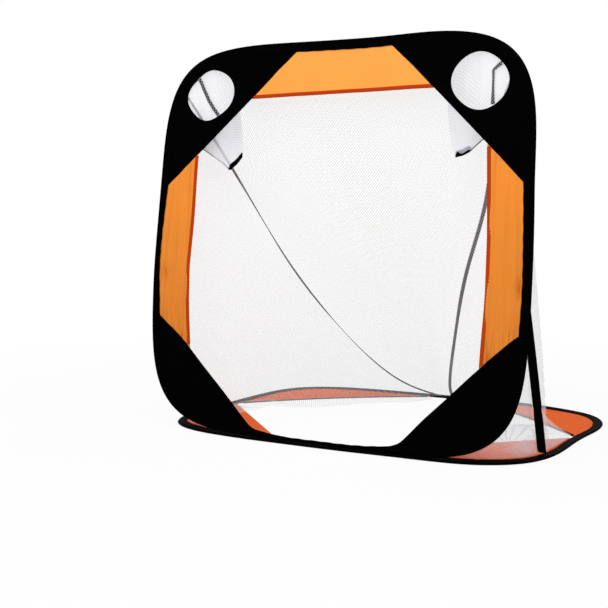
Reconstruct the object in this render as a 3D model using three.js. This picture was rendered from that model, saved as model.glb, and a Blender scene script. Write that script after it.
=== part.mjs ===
// A pop-up lacrosse goal. Two hoops of spring wire, each in a sewn fabric sleeve, are joined along the
// goal line: the base hoop lies on the ground and the front hoop stands on it, leaning back. Fabric
// panels fill the hoops' corners and edges, and three mesh panels close the space between the hoops.
// The skilled feature is the pair of target pockets: each mesh bag turns from the round target hole
// down into its narrow hem.
// Millimetres, X across the goal, Y back from the goal line, Z up. The origin is on the ground under
// the middle of the goal line.

import * as THREE from 'three';

// Outer sizes of the hoops, and how square their corners are (2 would be an ellipse)
const frontWidth = 1220;
const frontHeight = 1177;
const frontPower = 5;
const baseWidth = 1258;
const baseDepth = 1010;
const basePower = 4.4;
const leanDegrees = 5.7;

// Fabric, webbing and the gap that sewn pieces keep here
const clearance = 0.3;
const fabricThickness = 1.2;
const meshThickness = 1.2;
const webbingThickness = 1.6;

// Spring wire and the ferrule that joins its ends
const wireDiameter = 3.5;
const wireEndGap = 2;
const ferruleWall = 0.75;
const ferruleLength = 40;
const ferruleChamfer = 0.4;
const crimpDepth = 0.25;
const crimpLength = 5;

// Sleeves: a folded tape with a bore round the wire and two flaps that hold the panels' edges
const sleeveRoom = 0.6;
const sleeveWall = 1;
const frontSleeveWidth = 25;
const baseSleeveWidth = 30;
const panelTuck = 12;

// Corner gussets of the front hoop, measured from the corner of the square round the hoop
const topGussetAcross = 490;
const topGussetDown = 450;
const bottomGussetAcross = 397;
const bottomGussetUp = 370;
const gussetFlareUp = 35;
const gussetFlareAcross = 110;

// Target holes in the upper gussets and the facing ring behind each
const holeDiameter = 160;
const holeBesideBend = 95;
const holeBelowBend = 72;
const facingWidth = 5;

// Edge panels and their binding
const topPanelDepth = 160;
const sidePanelDepth = 122;
const bindingWidth = 8;
const bindingWall = 1;

// Target pockets: half sizes of the hem, where it hangs and how the bag turns down to it
const hemHalfWidth = 62;
const hemHalfDepth = 14;
const hemDrop = 184;
const hemBack = 56;
const hemInward = 22;
const pocketBulge = 14;
const pocketShoulder = 38;
const pocketFall = 70;
const hemHeight = 12;
const hemWall = 1;
const pocketTail = 14;

// Base panels and the seam bindings across the base
const rearPanelAcross = 617;
const rearPanelDown = 489;
const rearPanelBow = 40;
const frontPanelAcross = 511;
const sidePanelLap = 3;
const seamBindingWidth = 9;

// Net, its seam tapes and the side straps
const seamTapeWidth = 12;
const seamEndOffset = 25;
const netHoopInset = 20;
const netBaseInset = 28;
const strandWidth = 6;
const skirtWidth = 120;
const strapWidth = 25;
const strapHeight = 398;
const strapReach = 226;
const strapFromSide = 3;

// How much of the skirt's width lies at each column of a side net, from the front hoop to the rear
const skirtShares = [0.7, 0.75, 0.9, 1, 1, 1, 1.1, 1, 0.3];

// Course of a seam tape, as shares of the way from the front hoop to the rear of the base
const seamCourseShares = [
  [0.07, 0.025, 0.06],
  [0.29, 0.205, 0.345],
  [0.44, 0.3, 0.51],
  [0.64, 0.48, 0.72],
  [0.875, 0.78, 0.93],
];

// Directions on the hoops, in degrees round the hoop's middle from +X
const seamStartDegrees = 40.5;
const netFootDegrees = -50;
const netCornerDegrees = -45;
const netSideEndDegrees = 4;

// Counts of facets
const hoopStations = 64;
const wireSides = 8;
const ferruleSides = 12;
const ringSides = 32;
const bowPoints = 8;
const flarePoints = 5;
const pocketSides = 18;
const pocketRings = 8;
const netRows = 10;
const sideNetColumns = 8;
const sideNetCornerColumns = 5;
const backNetColumns = 8;
const rowsAboveFold = 3;
const columnsUnderFold = 3;
const relaxSweeps = 600;

// Worked out from the sizes above
const lean = THREE.MathUtils.degToRad(leanDegrees);
const wireRadius = wireDiameter / 2;
const ferruleBore = wireRadius + clearance;
const ferruleRadius = ferruleBore + ferruleWall;
const boreRadius = ferruleRadius + sleeveRoom;
const sleeveRadius = boreRadius + sleeveWall;
const slitHalf = fabricThickness / 2 + clearance;
const flapHalf = slitHalf + sleeveWall;

// The sleeves' corners turn past each other on the fold line
const turningRadius = sleeveRadius / Math.cos(Math.PI / 8);
const foldHeight = 2 * sleeveRadius + turningRadius + clearance / 2;

// Each hoop is drawn in its own plane, X across and Y away from the goal line, with the wire's middle
// at Y = 0 on the goal line
const frontHoop = { width: frontWidth, height: frontHeight, power: frontPower, sleeve: frontSleeveWidth };
const baseHoop = { width: baseWidth, height: baseDepth, power: basePower, sleeve: baseSleeveWidth };

const goal = new THREE.Group();
const base = new THREE.Group();
base.position.z = sleeveRadius;
const front = new THREE.Group();
front.position.z = foldHeight;
front.rotation.x = Math.PI / 2 - lean;
const loose = new THREE.Group();
goal.add(base, front, loose);
goal.updateMatrixWorld(true);

function material(color, roughness, metalness = 0) {
  return new THREE.MeshStandardMaterial({ color, roughness, metalness });
}

const blackFabric = () => material(0x111113, 0.8);
const orangeFabric = () => material(0xf2933c, 0.85);
const baseOrangeFabric = () => material(0xf5702a, 0.85);
const redOrangeTape = () => material(0xdc500a, 0.8);
const whiteMesh = () => material(0xf2f2f6, 0.9);
const greyTape = () => material(0x2a2a2d, 0.85);
const blackWebbing = () => material(0x0d0d0e, 0.7);
const springSteel = () => material(0x8b8f94, 0.35, 1);

function addPiece(group, name, geometry, look) {
  const mesh = new THREE.Mesh(geometry, look);
  mesh.name = name;
  group.add(mesh);
}

// A closed body from points and triangles, turned so that its faces point out
function solid(points, triangles) {
  let volume = 0;
  const cross = new THREE.Vector3();
  for (const [a, b, c] of triangles) {
    volume += points[a].dot(cross.crossVectors(points[b], points[c]));
  }
  const faces = volume < 0 ? triangles.map(([a, b, c]) => [a, c, b]) : triangles;
  const geometry = new THREE.BufferGeometry();
  geometry.setFromPoints(points);
  geometry.setIndex(faces.flat());
  geometry.computeVertexNormals();
  return geometry;
}

// A body lofted through rings of points. A closed loft joins its last ring to its first, and an open
// one is capped with the flat outline of its section
function loft(rings, capOutline = null) {
  const sides = rings[0].length;
  const triangles = [];
  const steps = capOutline ? rings.length - 1 : rings.length;
  for (let i = 0; i < steps; i += 1) {
    const here = i * sides;
    const there = ((i + 1) % rings.length) * sides;
    for (let j = 0; j < sides; j += 1) {
      const k = (j + 1) % sides;
      triangles.push([here + j, here + k, there + k]);
      triangles.push([here + j, there + k, there + j]);
    }
  }
  if (capOutline) {
    const last = (rings.length - 1) * sides;
    const turn = Math.sign(THREE.ShapeUtils.area(capOutline));
    for (const [a, b, c] of THREE.ShapeUtils.triangulateShape(capOutline, [])) {
      const same = Math.sign(THREE.ShapeUtils.area([capOutline[a], capOutline[b], capOutline[c]])) === turn;
      const [p, q] = same ? [b, c] : [c, b];
      triangles.push([last + a, last + p, last + q]);
      triangles.push([a, q, p]);
    }
  }
  return solid(rings.flat(), triangles);
}

// Point of a hoop's outer edge in the direction of an angle, moved inwards by an inset
function hoopPoint(hoop, angle, inset) {
  const halfWidth = hoop.width / 2;
  const halfHeight = hoop.height / 2;
  const c = Math.cos(angle);
  const s = Math.sin(angle);
  const sum = Math.abs(c / halfWidth) ** hoop.power + Math.abs(s / halfHeight) ** hoop.power;
  const reach = sum ** (-1 / hoop.power);
  const edge = new THREE.Vector2(reach * c, reach * s);
  const normal = new THREE.Vector2(
    (Math.sign(c) * Math.abs(edge.x / halfWidth) ** (hoop.power - 1)) / halfWidth,
    (Math.sign(s) * Math.abs(edge.y / halfHeight) ** (hoop.power - 1)) / halfHeight,
  ).normalize();
  edge.addScaledVector(normal, -inset);
  edge.y += halfHeight - sleeveRadius;
  return { edge, normal };
}

// Angles of the stations round a hoop, from the middle of the goal line. They lie closer where the
// hoop turns, and a straight stretch crosses the middle of each side
function stationAngles(hoop) {
  const fine = 3600;
  const length = [0];
  const turning = [0];
  let last = hoopPoint(hoop, -Math.PI / 2, 0);
  for (let i = 1; i <= fine; i += 1) {
    const next = hoopPoint(hoop, -Math.PI / 2 + (2 * Math.PI * i) / fine, 0);
    length.push(length[i - 1] + next.edge.distanceTo(last.edge));
    turning.push(turning[i - 1] + next.normal.angleTo(last.normal));
    last = next;
  }
  const measure = length.map((l, i) => l / length[fine] + turning[i] / turning[fine]);
  const angles = [];
  let i = 0;
  for (let k = 0; k < hoopStations; k += 1) {
    const target = (2 * (k + 0.5)) / hoopStations;
    while (measure[i] < target) i += 1;
    const share = (target - measure[i - 1]) / (measure[i] - measure[i - 1]);
    angles.push(-Math.PI / 2 + (2 * Math.PI * (i - 1 + share)) / fine);
  }
  return angles;
}

function hoopLoop(hoop, inset) {
  return stationAngles(hoop).map((angle) => hoopPoint(hoop, angle, inset).edge);
}

// The sleeve's section: distance in from the outer edge, and height over the hoop's plane
function sleeveSection(hoop) {
  const facet = Math.PI / 4;
  const circle = (radius, k) => {
    const reach = radius / Math.cos(facet / 2);
    const angle = facet * (k + 0.5);
    return new THREE.Vector2(sleeveRadius + reach * Math.cos(angle), reach * Math.sin(angle));
  };
  const section = [new THREE.Vector2(hoop.sleeve, flapHalf)];
  for (let k = 1; k <= 6; k += 1) section.push(circle(sleeveRadius, k));
  section.push(new THREE.Vector2(hoop.sleeve, -flapHalf));
  section.push(new THREE.Vector2(hoop.sleeve, -slitHalf));
  for (let k = 7; k >= 0; k -= 1) section.push(circle(boreRadius, k));
  section.push(new THREE.Vector2(hoop.sleeve, slitHalf));
  return section;
}

// Half the sleeve's thickness at an inset on its flaps
function sleeveHalf(hoop, inset) {
  const shoulder = sleeveRadius * (1 + Math.tan(Math.PI / 8));
  return THREE.MathUtils.mapLinear(inset, shoulder, hoop.sleeve, sleeveRadius, flapHalf);
}

function sleeveRings(hoop) {
  const section = sleeveSection(hoop);
  return stationAngles(hoop).map((angle) => section.map(({ x, y }) => {
    const { edge } = hoopPoint(hoop, angle, x);
    return new THREE.Vector3(edge.x, edge.y, y);
  }));
}

// Half of a sleeve, from the middle of one side of the hoop to the middle of the other. Its ends are
// cut square there and meet the other half's
function sleeveHalfRound(hoop, firstQuarter) {
  const rings = sleeveRings(hoop);
  const start = (firstQuarter * hoopStations) / 4;
  const turned = [...rings.slice(start), ...rings.slice(0, start)];
  const kept = turned.slice(0, hoopStations / 2);
  const squareEnd = (inner, outer) => inner.map((point, k) => {
    const along = outer[k].clone().sub(point);
    const reach = along.length() / 2 - clearance / 2;
    return point.clone().addScaledVector(along.normalize(), reach);
  });
  const first = squareEnd(kept[0], turned[hoopStations - 1]);
  const last = squareEnd(kept[kept.length - 1], turned[hoopStations / 2]);
  return loft([first, ...kept, last], sleeveSection(hoop));
}

// The wire lies in the sleeve's bore and starts and ends at its ferrule, on one of the hoop's four
// straight stretches: quarter 0 is on the goal line, and the others follow to the right
function wire(hoop, quarter) {
  const stations = stationAngles(hoop).map((angle) => hoopPoint(hoop, angle, sleeveRadius));
  const start = (quarter * hoopStations) / 4;
  const path = [...stations.slice(start), ...stations.slice(0, start)];
  const first = path[0];
  const last = path[path.length - 1];
  const middle = first.edge.clone().lerp(last.edge, 0.5);
  const along = first.edge.clone().sub(last.edge).normalize();
  const end = (side) => ({
    edge: middle.clone().addScaledVector(along, (side * wireEndGap) / 2),
    normal: first.normal.clone().add(last.normal).normalize(),
  });
  const outline = [];
  for (let k = 0; k < wireSides; k += 1) {
    const angle = (2 * Math.PI * k) / wireSides;
    outline.push(new THREE.Vector2(wireRadius * Math.cos(angle), wireRadius * Math.sin(angle)));
  }
  const rings = [end(1), ...path, end(-1)].map(({ edge, normal }) => outline.map(({ x, y }) => {
    const place = edge.clone().addScaledVector(normal, x);
    return new THREE.Vector3(place.x, place.y, y);
  }));
  return { geometry: loft(rings, outline), middle, along };
}

// A turned tube with two crimped grooves, its axis along +Y before it is laid on the wire
function ferrule({ middle, along }) {
  const half = ferruleLength / 2;
  const crimp = (centre) => [
    new THREE.Vector2(ferruleRadius, centre - crimpLength),
    new THREE.Vector2(ferruleRadius - crimpDepth, centre - crimpLength / 2),
    new THREE.Vector2(ferruleRadius - crimpDepth, centre + crimpLength / 2),
    new THREE.Vector2(ferruleRadius, centre + crimpLength),
  ];
  const profile = [
    new THREE.Vector2(ferruleBore, -half),
    new THREE.Vector2(ferruleRadius - ferruleChamfer, -half),
    new THREE.Vector2(ferruleRadius, -half + ferruleChamfer),
    ...crimp(-half / 2),
    ...crimp(half / 2),
    new THREE.Vector2(ferruleRadius, half - ferruleChamfer),
    new THREE.Vector2(ferruleRadius - ferruleChamfer, half),
    new THREE.Vector2(ferruleBore, half),
    new THREE.Vector2(ferruleBore, -half),
  ];
  const geometry = new THREE.LatheGeometry(profile, ferruleSides);
  geometry.rotateZ(Math.atan2(along.y, along.x) - Math.PI / 2);
  geometry.translate(middle.x, middle.y, 0);
  return geometry;
}

// The part of an outline on one side of a straight cut, half a clearance away from it. The cut edge
// is straight, or runs through the points that shapeEdge gives between its ends
function cutOutline(outline, cut, towards, shapeEdge = () => []) {
  const [from, to] = cut;
  const normal = new THREE.Vector2(from.y - to.y, to.x - from.x).normalize();
  if (normal.dot(towards.clone().sub(from)) < 0) normal.negate();
  const depth = (p) => normal.dot(p.clone().sub(from)) - clearance / 2;
  const kept = [];
  let leaves = null;
  let enters = null;
  outline.forEach((p, i) => {
    const next = outline[(i + 1) % outline.length];
    if (depth(p) >= 0) kept.push(p);
    if (depth(p) >= 0 !== depth(next) >= 0) {
      const crossing = p.clone().lerp(next, depth(p) / (depth(p) - depth(next)));
      if (depth(p) >= 0) leaves = crossing;
      else enters = crossing;
      kept.push(crossing);
    }
  });
  kept.splice(kept.indexOf(leaves) + 1, 0, ...shapeEdge(leaves, enters, normal));
  return kept;
}

// A cut across a corner of the rectangle round a hoop, by its two legs from that corner
function cornerCut(hoop, across, along, top) {
  const side = hoop.width / 2;
  const level = top ? hoop.height - sleeveRadius : -sleeveRadius;
  const inner = top ? level - along : level + along;
  return [new THREE.Vector2(side - across, level), new THREE.Vector2(side, inner)];
}

function hoopCorner(hoop, top) {
  return new THREE.Vector2(hoop.width / 2, top ? hoop.height : 0);
}

function hoopMiddle(hoop) {
  return new THREE.Vector2(0, hoop.height / 2);
}

function mirrored(outline) {
  return outline.map((p) => new THREE.Vector2(-p.x, p.y)).reverse();
}

// A flat fabric panel in the hoop's plane
function panel(outline, hole = null) {
  const shape = new THREE.Shape(outline);
  if (hole) {
    const path = new THREE.Path();
    path.absarc(hole.x, hole.y, holeDiameter / 2, 0, 2 * Math.PI, true);
    shape.holes.push(path);
  }
  const options = { depth: fabricThickness, bevelEnabled: false, curveSegments: ringSides / 2 };
  const geometry = new THREE.ExtrudeGeometry(shape, options);
  geometry.translate(0, 0, -fabricThickness / 2);
  return geometry;
}

// The section of a tape folded over a fabric edge: x runs from the edge into the fabric
function foldedTape(width, wall) {
  const gap = -clearance;
  return [
    new THREE.Vector2(width, slitHalf + wall),
    new THREE.Vector2(gap - wall, slitHalf + wall),
    new THREE.Vector2(gap - wall, -slitHalf - wall),
    new THREE.Vector2(width, -slitHalf - wall),
    new THREE.Vector2(width, -slitHalf),
    new THREE.Vector2(gap, -slitHalf),
    new THREE.Vector2(gap, slitHalf),
    new THREE.Vector2(width, slitHalf),
  ];
}

// A folded tape along a line of points in the hoop's plane, with the fabric on the inward side
function tapeAlong(points, inward, width, wall) {
  const section = foldedTape(width, wall);
  const rings = points.map((p, i) => {
    const before = points[Math.max(i - 1, 0)];
    const after = points[Math.min(i + 1, points.length - 1)];
    const side = new THREE.Vector2(before.y - after.y, after.x - before.x).normalize();
    if (side.dot(inward) < 0) side.negate();
    return section.map(({ x, y }) => new THREE.Vector3(p.x + side.x * x, p.y + side.y * x, y));
  });
  return loft(rings, section);
}

// A flat ribbon of webbing or tape along points in space, its width along a direction at each point
function ribbon(points, widthAxes, width, thickness) {
  const outline = [
    new THREE.Vector2(-width / 2, -thickness / 2),
    new THREE.Vector2(width / 2, -thickness / 2),
    new THREE.Vector2(width / 2, thickness / 2),
    new THREE.Vector2(-width / 2, thickness / 2),
  ];
  const rings = points.map((p, i) => {
    const before = points[Math.max(i - 1, 0)];
    const after = points[Math.min(i + 1, points.length - 1)];
    const along = after.clone().sub(before).normalize();
    const face = along.clone().cross(widthAxes[i]).normalize();
    return outline.map(({ x, y }) => p.clone().addScaledVector(widthAxes[i], x).addScaledVector(face, y));
  });
  return loft(rings, outline);
}

// One ring of the pocket. share runs from the target hole, 0, to the hem, 1, and offset moves the
// ring out from the bag's outer face. The bag's back starts at the top of the hole and its front at
// the bottom, and both turn down to the flat hem
function pocketRing(share, offset) {
  const hole = targetHole();
  const rimBack = -(fabricThickness / 2 + 2 * clearance + fabricThickness);
  const points = [];
  for (let k = 0; k < pocketSides; k += 1) {
    const turn = (2 * Math.PI * k) / pocketSides;
    const across = Math.sin(turn);
    const rear = Math.cos(turn);
    const rearShare = (1 + rear) / 2;
    const rimReach = holeDiameter / 2 + clearance + meshThickness + offset;
    const rim = new THREE.Vector3(hole.x + rimReach * across, hole.y + rimReach * rear, rimBack);
    const tail = new THREE.Vector3(
      hole.x - hemInward + (hemHalfWidth + offset) * across,
      hole.y - hemDrop + pocketTail,
      -hemBack - (hemHalfDepth + offset) * rear,
    );
    const shoulder = new THREE.Vector3(rim.x, rim.y - pocketShoulder, rim.z - pocketBulge * rearShare);
    shoulder.z -= (pocketBulge + offset * rear) / 2;
    const fall = new THREE.Vector3(tail.x, tail.y + pocketFall / 2 + (pocketFall / 2) * rearShare, tail.z);
    const course = new THREE.CubicBezierCurve3(rim, shoulder, fall, tail);
    const bend = Math.min((share * (pocketRings + 1)) / pocketRings, 1);
    const point = course.getPoint(bend);
    if (share === 1) point.y -= pocketTail;
    points.push(point);
  }
  return points;
}

// The hole keeps its distance from the hoop's bend, which cuts its corner by this share of a half side
function targetHole() {
  const bendShare = 1 - 2 ** (-1 / frontPower);
  return new THREE.Vector2(
    (frontWidth / 2) * (1 - bendShare) - holeBesideBend,
    frontHeight - sleeveRadius - (frontHeight / 2) * bendShare - holeBelowBend,
  );
}

// The bag: an outer and an inner face, joined round the target hole and round the hem
function pocket() {
  const rings = [];
  for (let i = 0; i <= pocketRings + 1; i += 1) rings.push(pocketRing(i / (pocketRings + 1), 0));
  for (let i = pocketRings + 1; i >= 0; i -= 1) rings.push(pocketRing(i / (pocketRings + 1), -meshThickness));
  return loft(rings);
}

// The hem is a tape folded over the bag's lower edge
function pocketHem() {
  const outer = pocketRing(1, clearance);
  const outerFace = pocketRing(1, clearance + hemWall);
  const inner = pocketRing(1, -meshThickness - clearance);
  const innerFace = pocketRing(1, -meshThickness - clearance - hemWall);
  const raised = (ring, height) => ring.map((p) => new THREE.Vector3(p.x, p.y + height, p.z));
  return loft([
    raised(outerFace, hemHeight),
    raised(outer, hemHeight),
    raised(outer, -clearance),
    raised(inner, -clearance),
    raised(inner, hemHeight),
    raised(innerFace, hemHeight),
    raised(innerFace, -clearance - hemWall),
    raised(outerFace, -clearance - hemWall),
  ]);
}

function mirroredGeometry(geometry) {
  const points = [];
  const position = geometry.getAttribute('position');
  for (let i = 0; i < position.count; i += 1) {
    points.push(new THREE.Vector3().fromBufferAttribute(position, i).multiply(new THREE.Vector3(-1, 1, 1)));
  }
  const index = Array.from(geometry.getIndex().array);
  const triangles = [];
  for (let i = 0; i < index.length; i += 3) triangles.push(index.slice(i, i + 3));
  return solid(points, triangles);
}

// The facing ring that the pocket is sewn to, behind the gusset
function facingRing() {
  const hole = targetHole();
  const near = -(fabricThickness / 2 + clearance);
  const far = near - fabricThickness;
  const bore = holeDiameter / 2;
  const profile = [
    new THREE.Vector2(bore, far),
    new THREE.Vector2(bore + facingWidth, far),
    new THREE.Vector2(bore + facingWidth, near),
    new THREE.Vector2(bore, near),
    new THREE.Vector2(bore, far),
  ];
  const geometry = new THREE.LatheGeometry(profile, ringSides);
  geometry.rotateX(Math.PI / 2);
  geometry.translate(hole.x, hole.y, 0);
  return geometry;
}

// A net settles with every knot midway between its four neighbours, as mesh under even pull does.
// Knots that a tension fold holds keep their places
function settle(grid, held = []) {
  for (let sweep = 0; sweep < relaxSweeps; sweep += 1) {
    for (let i = 1; i < grid.length - 1; i += 1) {
      for (let j = 1; j < grid[i].length - 1; j += 1) {
        if (held.includes(grid[i][j])) continue;
        grid[i][j].copy(grid[i - 1][j]).add(grid[i + 1][j]).add(grid[i][j - 1]).add(grid[i][j + 1]);
        grid[i][j].divideScalar(4);
      }
    }
  }
  return grid;
}

// A straight fold is pulled tight in the side net, from the front hoop's side to the base's side.
// The knots nearest to it are set on it
function holdFold(grid) {
  const top = grid[rowsAboveFold][0];
  const bottom = grid[netRows][columnsUnderFold];
  const held = [];
  for (let j = 1; j < columnsUnderFold; j += 1) {
    const i = Math.round(rowsAboveFold + ((netRows - rowsAboveFold) * j) / columnsUnderFold);
    grid[i][j].lerpVectors(top, bottom, (i - rowsAboveFold) / (netRows - rowsAboveFold));
    held.push(grid[i][j]);
  }
  return held;
}

function gridNormal(grid, i, j) {
  const up = grid[Math.max(i - 1, 0)][j];
  const down = grid[Math.min(i + 1, grid.length - 1)][j];
  const left = grid[i][Math.max(j - 1, 0)];
  const right = grid[i][Math.min(j + 1, grid[i].length - 1)];
  return right.clone().sub(left).cross(down.clone().sub(up)).normalize();
}

// A mesh panel drawn as a coarse net: each cell of the grid of knots has one gap, framed by strands
function netSheet(grid) {
  const rows = grid.length;
  const columns = grid[0].length;
  const faces = [1, -1].map((side) => grid.map((row, i) => row.map((p, j) => (
    p.clone().addScaledVector(gridNormal(grid, i, j), (side * meshThickness) / 2)
  ))));
  const points = faces.flat(2);
  const knot = (face, i, j) => face * rows * columns + i * columns + j;
  const triangles = [];
  const quad = (a, b, c, d) => triangles.push([a, b, c], [a, c, d]);
  for (let i = 0; i < rows - 1; i += 1) {
    for (let j = 0; j < columns - 1; j += 1) {
      const wide = (grid[i][j].distanceTo(grid[i][j + 1]) + grid[i + 1][j].distanceTo(grid[i + 1][j + 1])) / 2;
      const tall = (grid[i][j].distanceTo(grid[i + 1][j]) + grid[i][j + 1].distanceTo(grid[i + 1][j + 1])) / 2;
      const acrossShare = Math.min(strandWidth / 2 / wide, 0.3);
      const downShare = Math.min(strandWidth / 2 / tall, 0.3);
      const corners = [[i, j], [i, j + 1], [i + 1, j + 1], [i + 1, j]];
      const places = [
        [acrossShare, downShare],
        [1 - acrossShare, downShare],
        [1 - acrossShare, 1 - downShare],
        [acrossShare, 1 - downShare],
      ];
      const gap = [0, 1].map((face) => places.map(([across, down]) => {
        const upper = faces[face][i][j].clone().lerp(faces[face][i][j + 1], across);
        const lower = faces[face][i + 1][j].clone().lerp(faces[face][i + 1][j + 1], across);
        points.push(upper.lerp(lower, down));
        return points.length - 1;
      }));
      for (let k = 0; k < 4; k += 1) {
        const n = (k + 1) % 4;
        quad(knot(0, ...corners[k]), knot(0, ...corners[n]), gap[0][n], gap[0][k]);
        quad(knot(1, ...corners[n]), knot(1, ...corners[k]), gap[1][k], gap[1][n]);
        quad(gap[0][k], gap[0][n], gap[1][n], gap[1][k]);
      }
    }
  }
  const border = [];
  for (let j = 0; j < columns - 1; j += 1) border.push([0, j]);
  for (let i = 0; i < rows - 1; i += 1) border.push([i, columns - 1]);
  for (let j = columns - 1; j > 0; j -= 1) border.push([rows - 1, j]);
  for (let i = rows - 1; i > 0; i -= 1) border.push([i, 0]);
  border.forEach((here, k) => {
    const next = border[(k + 1) % border.length];
    quad(knot(0, ...next), knot(0, ...here), knot(1, ...here), knot(1, ...next));
  });
  return solid(points, triangles);
}

// A place on a hoop in the part's own frame: height is over the hoop's plane
function placeOnHoop(group, hoop, degrees, inset, height) {
  const { edge } = hoopPoint(hoop, THREE.MathUtils.degToRad(degrees), inset);
  return group.localToWorld(new THREE.Vector3(edge.x, edge.y, height));
}

// Behind the front sleeve, and over the base sleeve, where net and tape are sewn on
function behindFront(inset, thickness) {
  return -(sleeveHalf(frontHoop, inset) + clearance + thickness / 2);
}

function overBase(inset, thickness) {
  return sleeveHalf(baseHoop, inset) + clearance + thickness / 2;
}

// The right seam tape, from the front hoop's corner to the middle of the rear of the base
function seamCourse() {
  const depth = behindFront(netHoopInset, webbingThickness) - fabricThickness;
  const start = placeOnHoop(front, frontHoop, seamStartDegrees, netHoopInset, depth);
  const end = new THREE.Vector3(
    seamEndOffset,
    baseDepth - sleeveRadius - netBaseInset,
    sleeveRadius + overBase(netBaseInset, webbingThickness) + 2 * clearance,
  );
  const knots = seamCourseShares.map(([x, y, z]) => new THREE.Vector3(
    THREE.MathUtils.lerp(start.x, end.x, x),
    THREE.MathUtils.lerp(start.y, end.y, y),
    THREE.MathUtils.lerp(start.z, end.z, z),
  ));
  return new THREE.CatmullRomCurve3([start, ...knots, end]);
}

// Points along the seam and, at each, the direction across the tape towards the goal's right side
function seamPlaces() {
  const course = seamCourse();
  const across = new THREE.Vector3(1, 0, 0);
  const places = [];
  for (let i = 0; i <= netRows; i += 1) {
    const along = course.getTangentAt(i / netRows);
    const outward = across.clone().addScaledVector(along, -along.x).normalize();
    places.push({ point: course.getPointAt(i / netRows), outward });
  }
  return places;
}

function seamTape() {
  const places = seamPlaces();
  const points = places.map(({ point }) => point);
  const axes = places.map(({ outward }) => outward);
  return ribbon(points, axes, seamTapeWidth, webbingThickness);
}

// The edge of a net panel beside the seam tape, on its outer side, 1, or its inner side, -1
function seamEdge(side) {
  const reach = side * (seamTapeWidth / 2 + clearance + meshThickness / 2);
  return seamPlaces().map(({ point, outward }) => point.clone().addScaledVector(outward, reach));
}

// Foot of the side net: off the front hoop, round the base's side and along the seam binding
function sideNetFoot(foot) {
  const places = [foot];
  for (let k = 1; k <= sideNetCornerColumns; k += 1) {
    const share = (k - 1) / (sideNetCornerColumns - 1);
    const degrees = THREE.MathUtils.lerp(netCornerDegrees, netSideEndDegrees, share);
    const height = overBase(netBaseInset, meshThickness);
    places.push(placeOnHoop(base, baseHoop, degrees, netBaseInset, height));
  }
  const line = rearPanelEdge();
  const end = seamEdge(1)[netRows];
  const rest = sideNetColumns - sideNetCornerColumns;
  for (let k = 1; k < rest; k += 1) {
    const at = line[Math.round((k * (line.length - 1)) / rest)];
    places.push(new THREE.Vector3(at.x, at.y, sleeveRadius + overBase(baseSleeveWidth, meshThickness)));
  }
  places.push(end);
  return places;
}

// The slack at the foot of the side net lies on the base panels as a skirt, inwards of the foot
function sideNetSkirt(foot) {
  const level = sleeveRadius + slitHalf + bindingWall + clearance + meshThickness;
  return foot.map((p, k) => {
    const before = foot[Math.max(k - 1, 1)];
    const after = foot[Math.min(Math.max(k + 1, 2), foot.length - 1)];
    const inward = new THREE.Vector3(before.y - after.y, after.x - before.x, 0).normalize();
    const place = p.clone().addScaledVector(inward, skirtWidth * skirtShares[k]);
    return place.setZ(level);
  });
}

function sideNet() {
  const hoopEdge = [];
  for (let i = 0; i <= netRows; i += 1) {
    const degrees = THREE.MathUtils.lerp(seamStartDegrees - 3, netFootDegrees, i / netRows);
    const height = behindFront(netHoopInset, meshThickness);
    hoopEdge.push(placeOnHoop(front, frontHoop, degrees, netHoopInset, height));
  }
  const tapeEdge = seamEdge(1);
  const foot = sideNetFoot(hoopEdge[netRows]);
  const grid = [];
  for (let i = 0; i <= netRows; i += 1) {
    const row = [];
    for (let j = 0; j <= sideNetColumns; j += 1) {
      row.push(hoopEdge[i].clone().lerp(tapeEdge[i], j / sideNetColumns));
    }
    grid.push(row);
  }
  grid[netRows] = foot;
  return netSheet([...settle(grid, holdFold(grid)), sideNetSkirt(foot)]);
}

function backNet() {
  const right = seamEdge(-1);
  const left = right.map((p) => new THREE.Vector3(-p.x, p.y, p.z));
  const grid = [];
  for (let i = 0; i <= netRows; i += 1) {
    const row = [];
    for (let j = 0; j <= backNetColumns; j += 1) row.push(left[i].clone().lerp(right[i], j / backNetColumns));
    grid.push(row);
  }
  for (let j = 1; j < backNetColumns; j += 1) {
    const degrees = THREE.MathUtils.lerp(180 - seamStartDegrees, seamStartDegrees, j / backNetColumns);
    const height = behindFront(netHoopInset, meshThickness);
    grid[0][j] = placeOnHoop(front, frontHoop, degrees, netHoopInset, height);
  }
  return netSheet(settle(grid));
}

// The bowed inner edge of a rear base panel, from the base's side to the middle of its rear
function bowedEdge(leaves, enters, normal) {
  const points = [];
  for (let k = 1; k < bowPoints; k += 1) {
    const share = k / bowPoints;
    const rise = 4 * share * (1 - share) * rearPanelBow;
    points.push(leaves.clone().lerp(enters, share).addScaledVector(normal, rise));
  }
  return points;
}

function rearPanelOutline() {
  const cut = cornerCut(baseHoop, rearPanelAcross, rearPanelDown, true);
  const loop = hoopLoop(baseHoop, baseSleeveWidth - panelTuck);
  return cutOutline(loop, cut, hoopCorner(baseHoop, true), bowedEdge);
}

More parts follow.
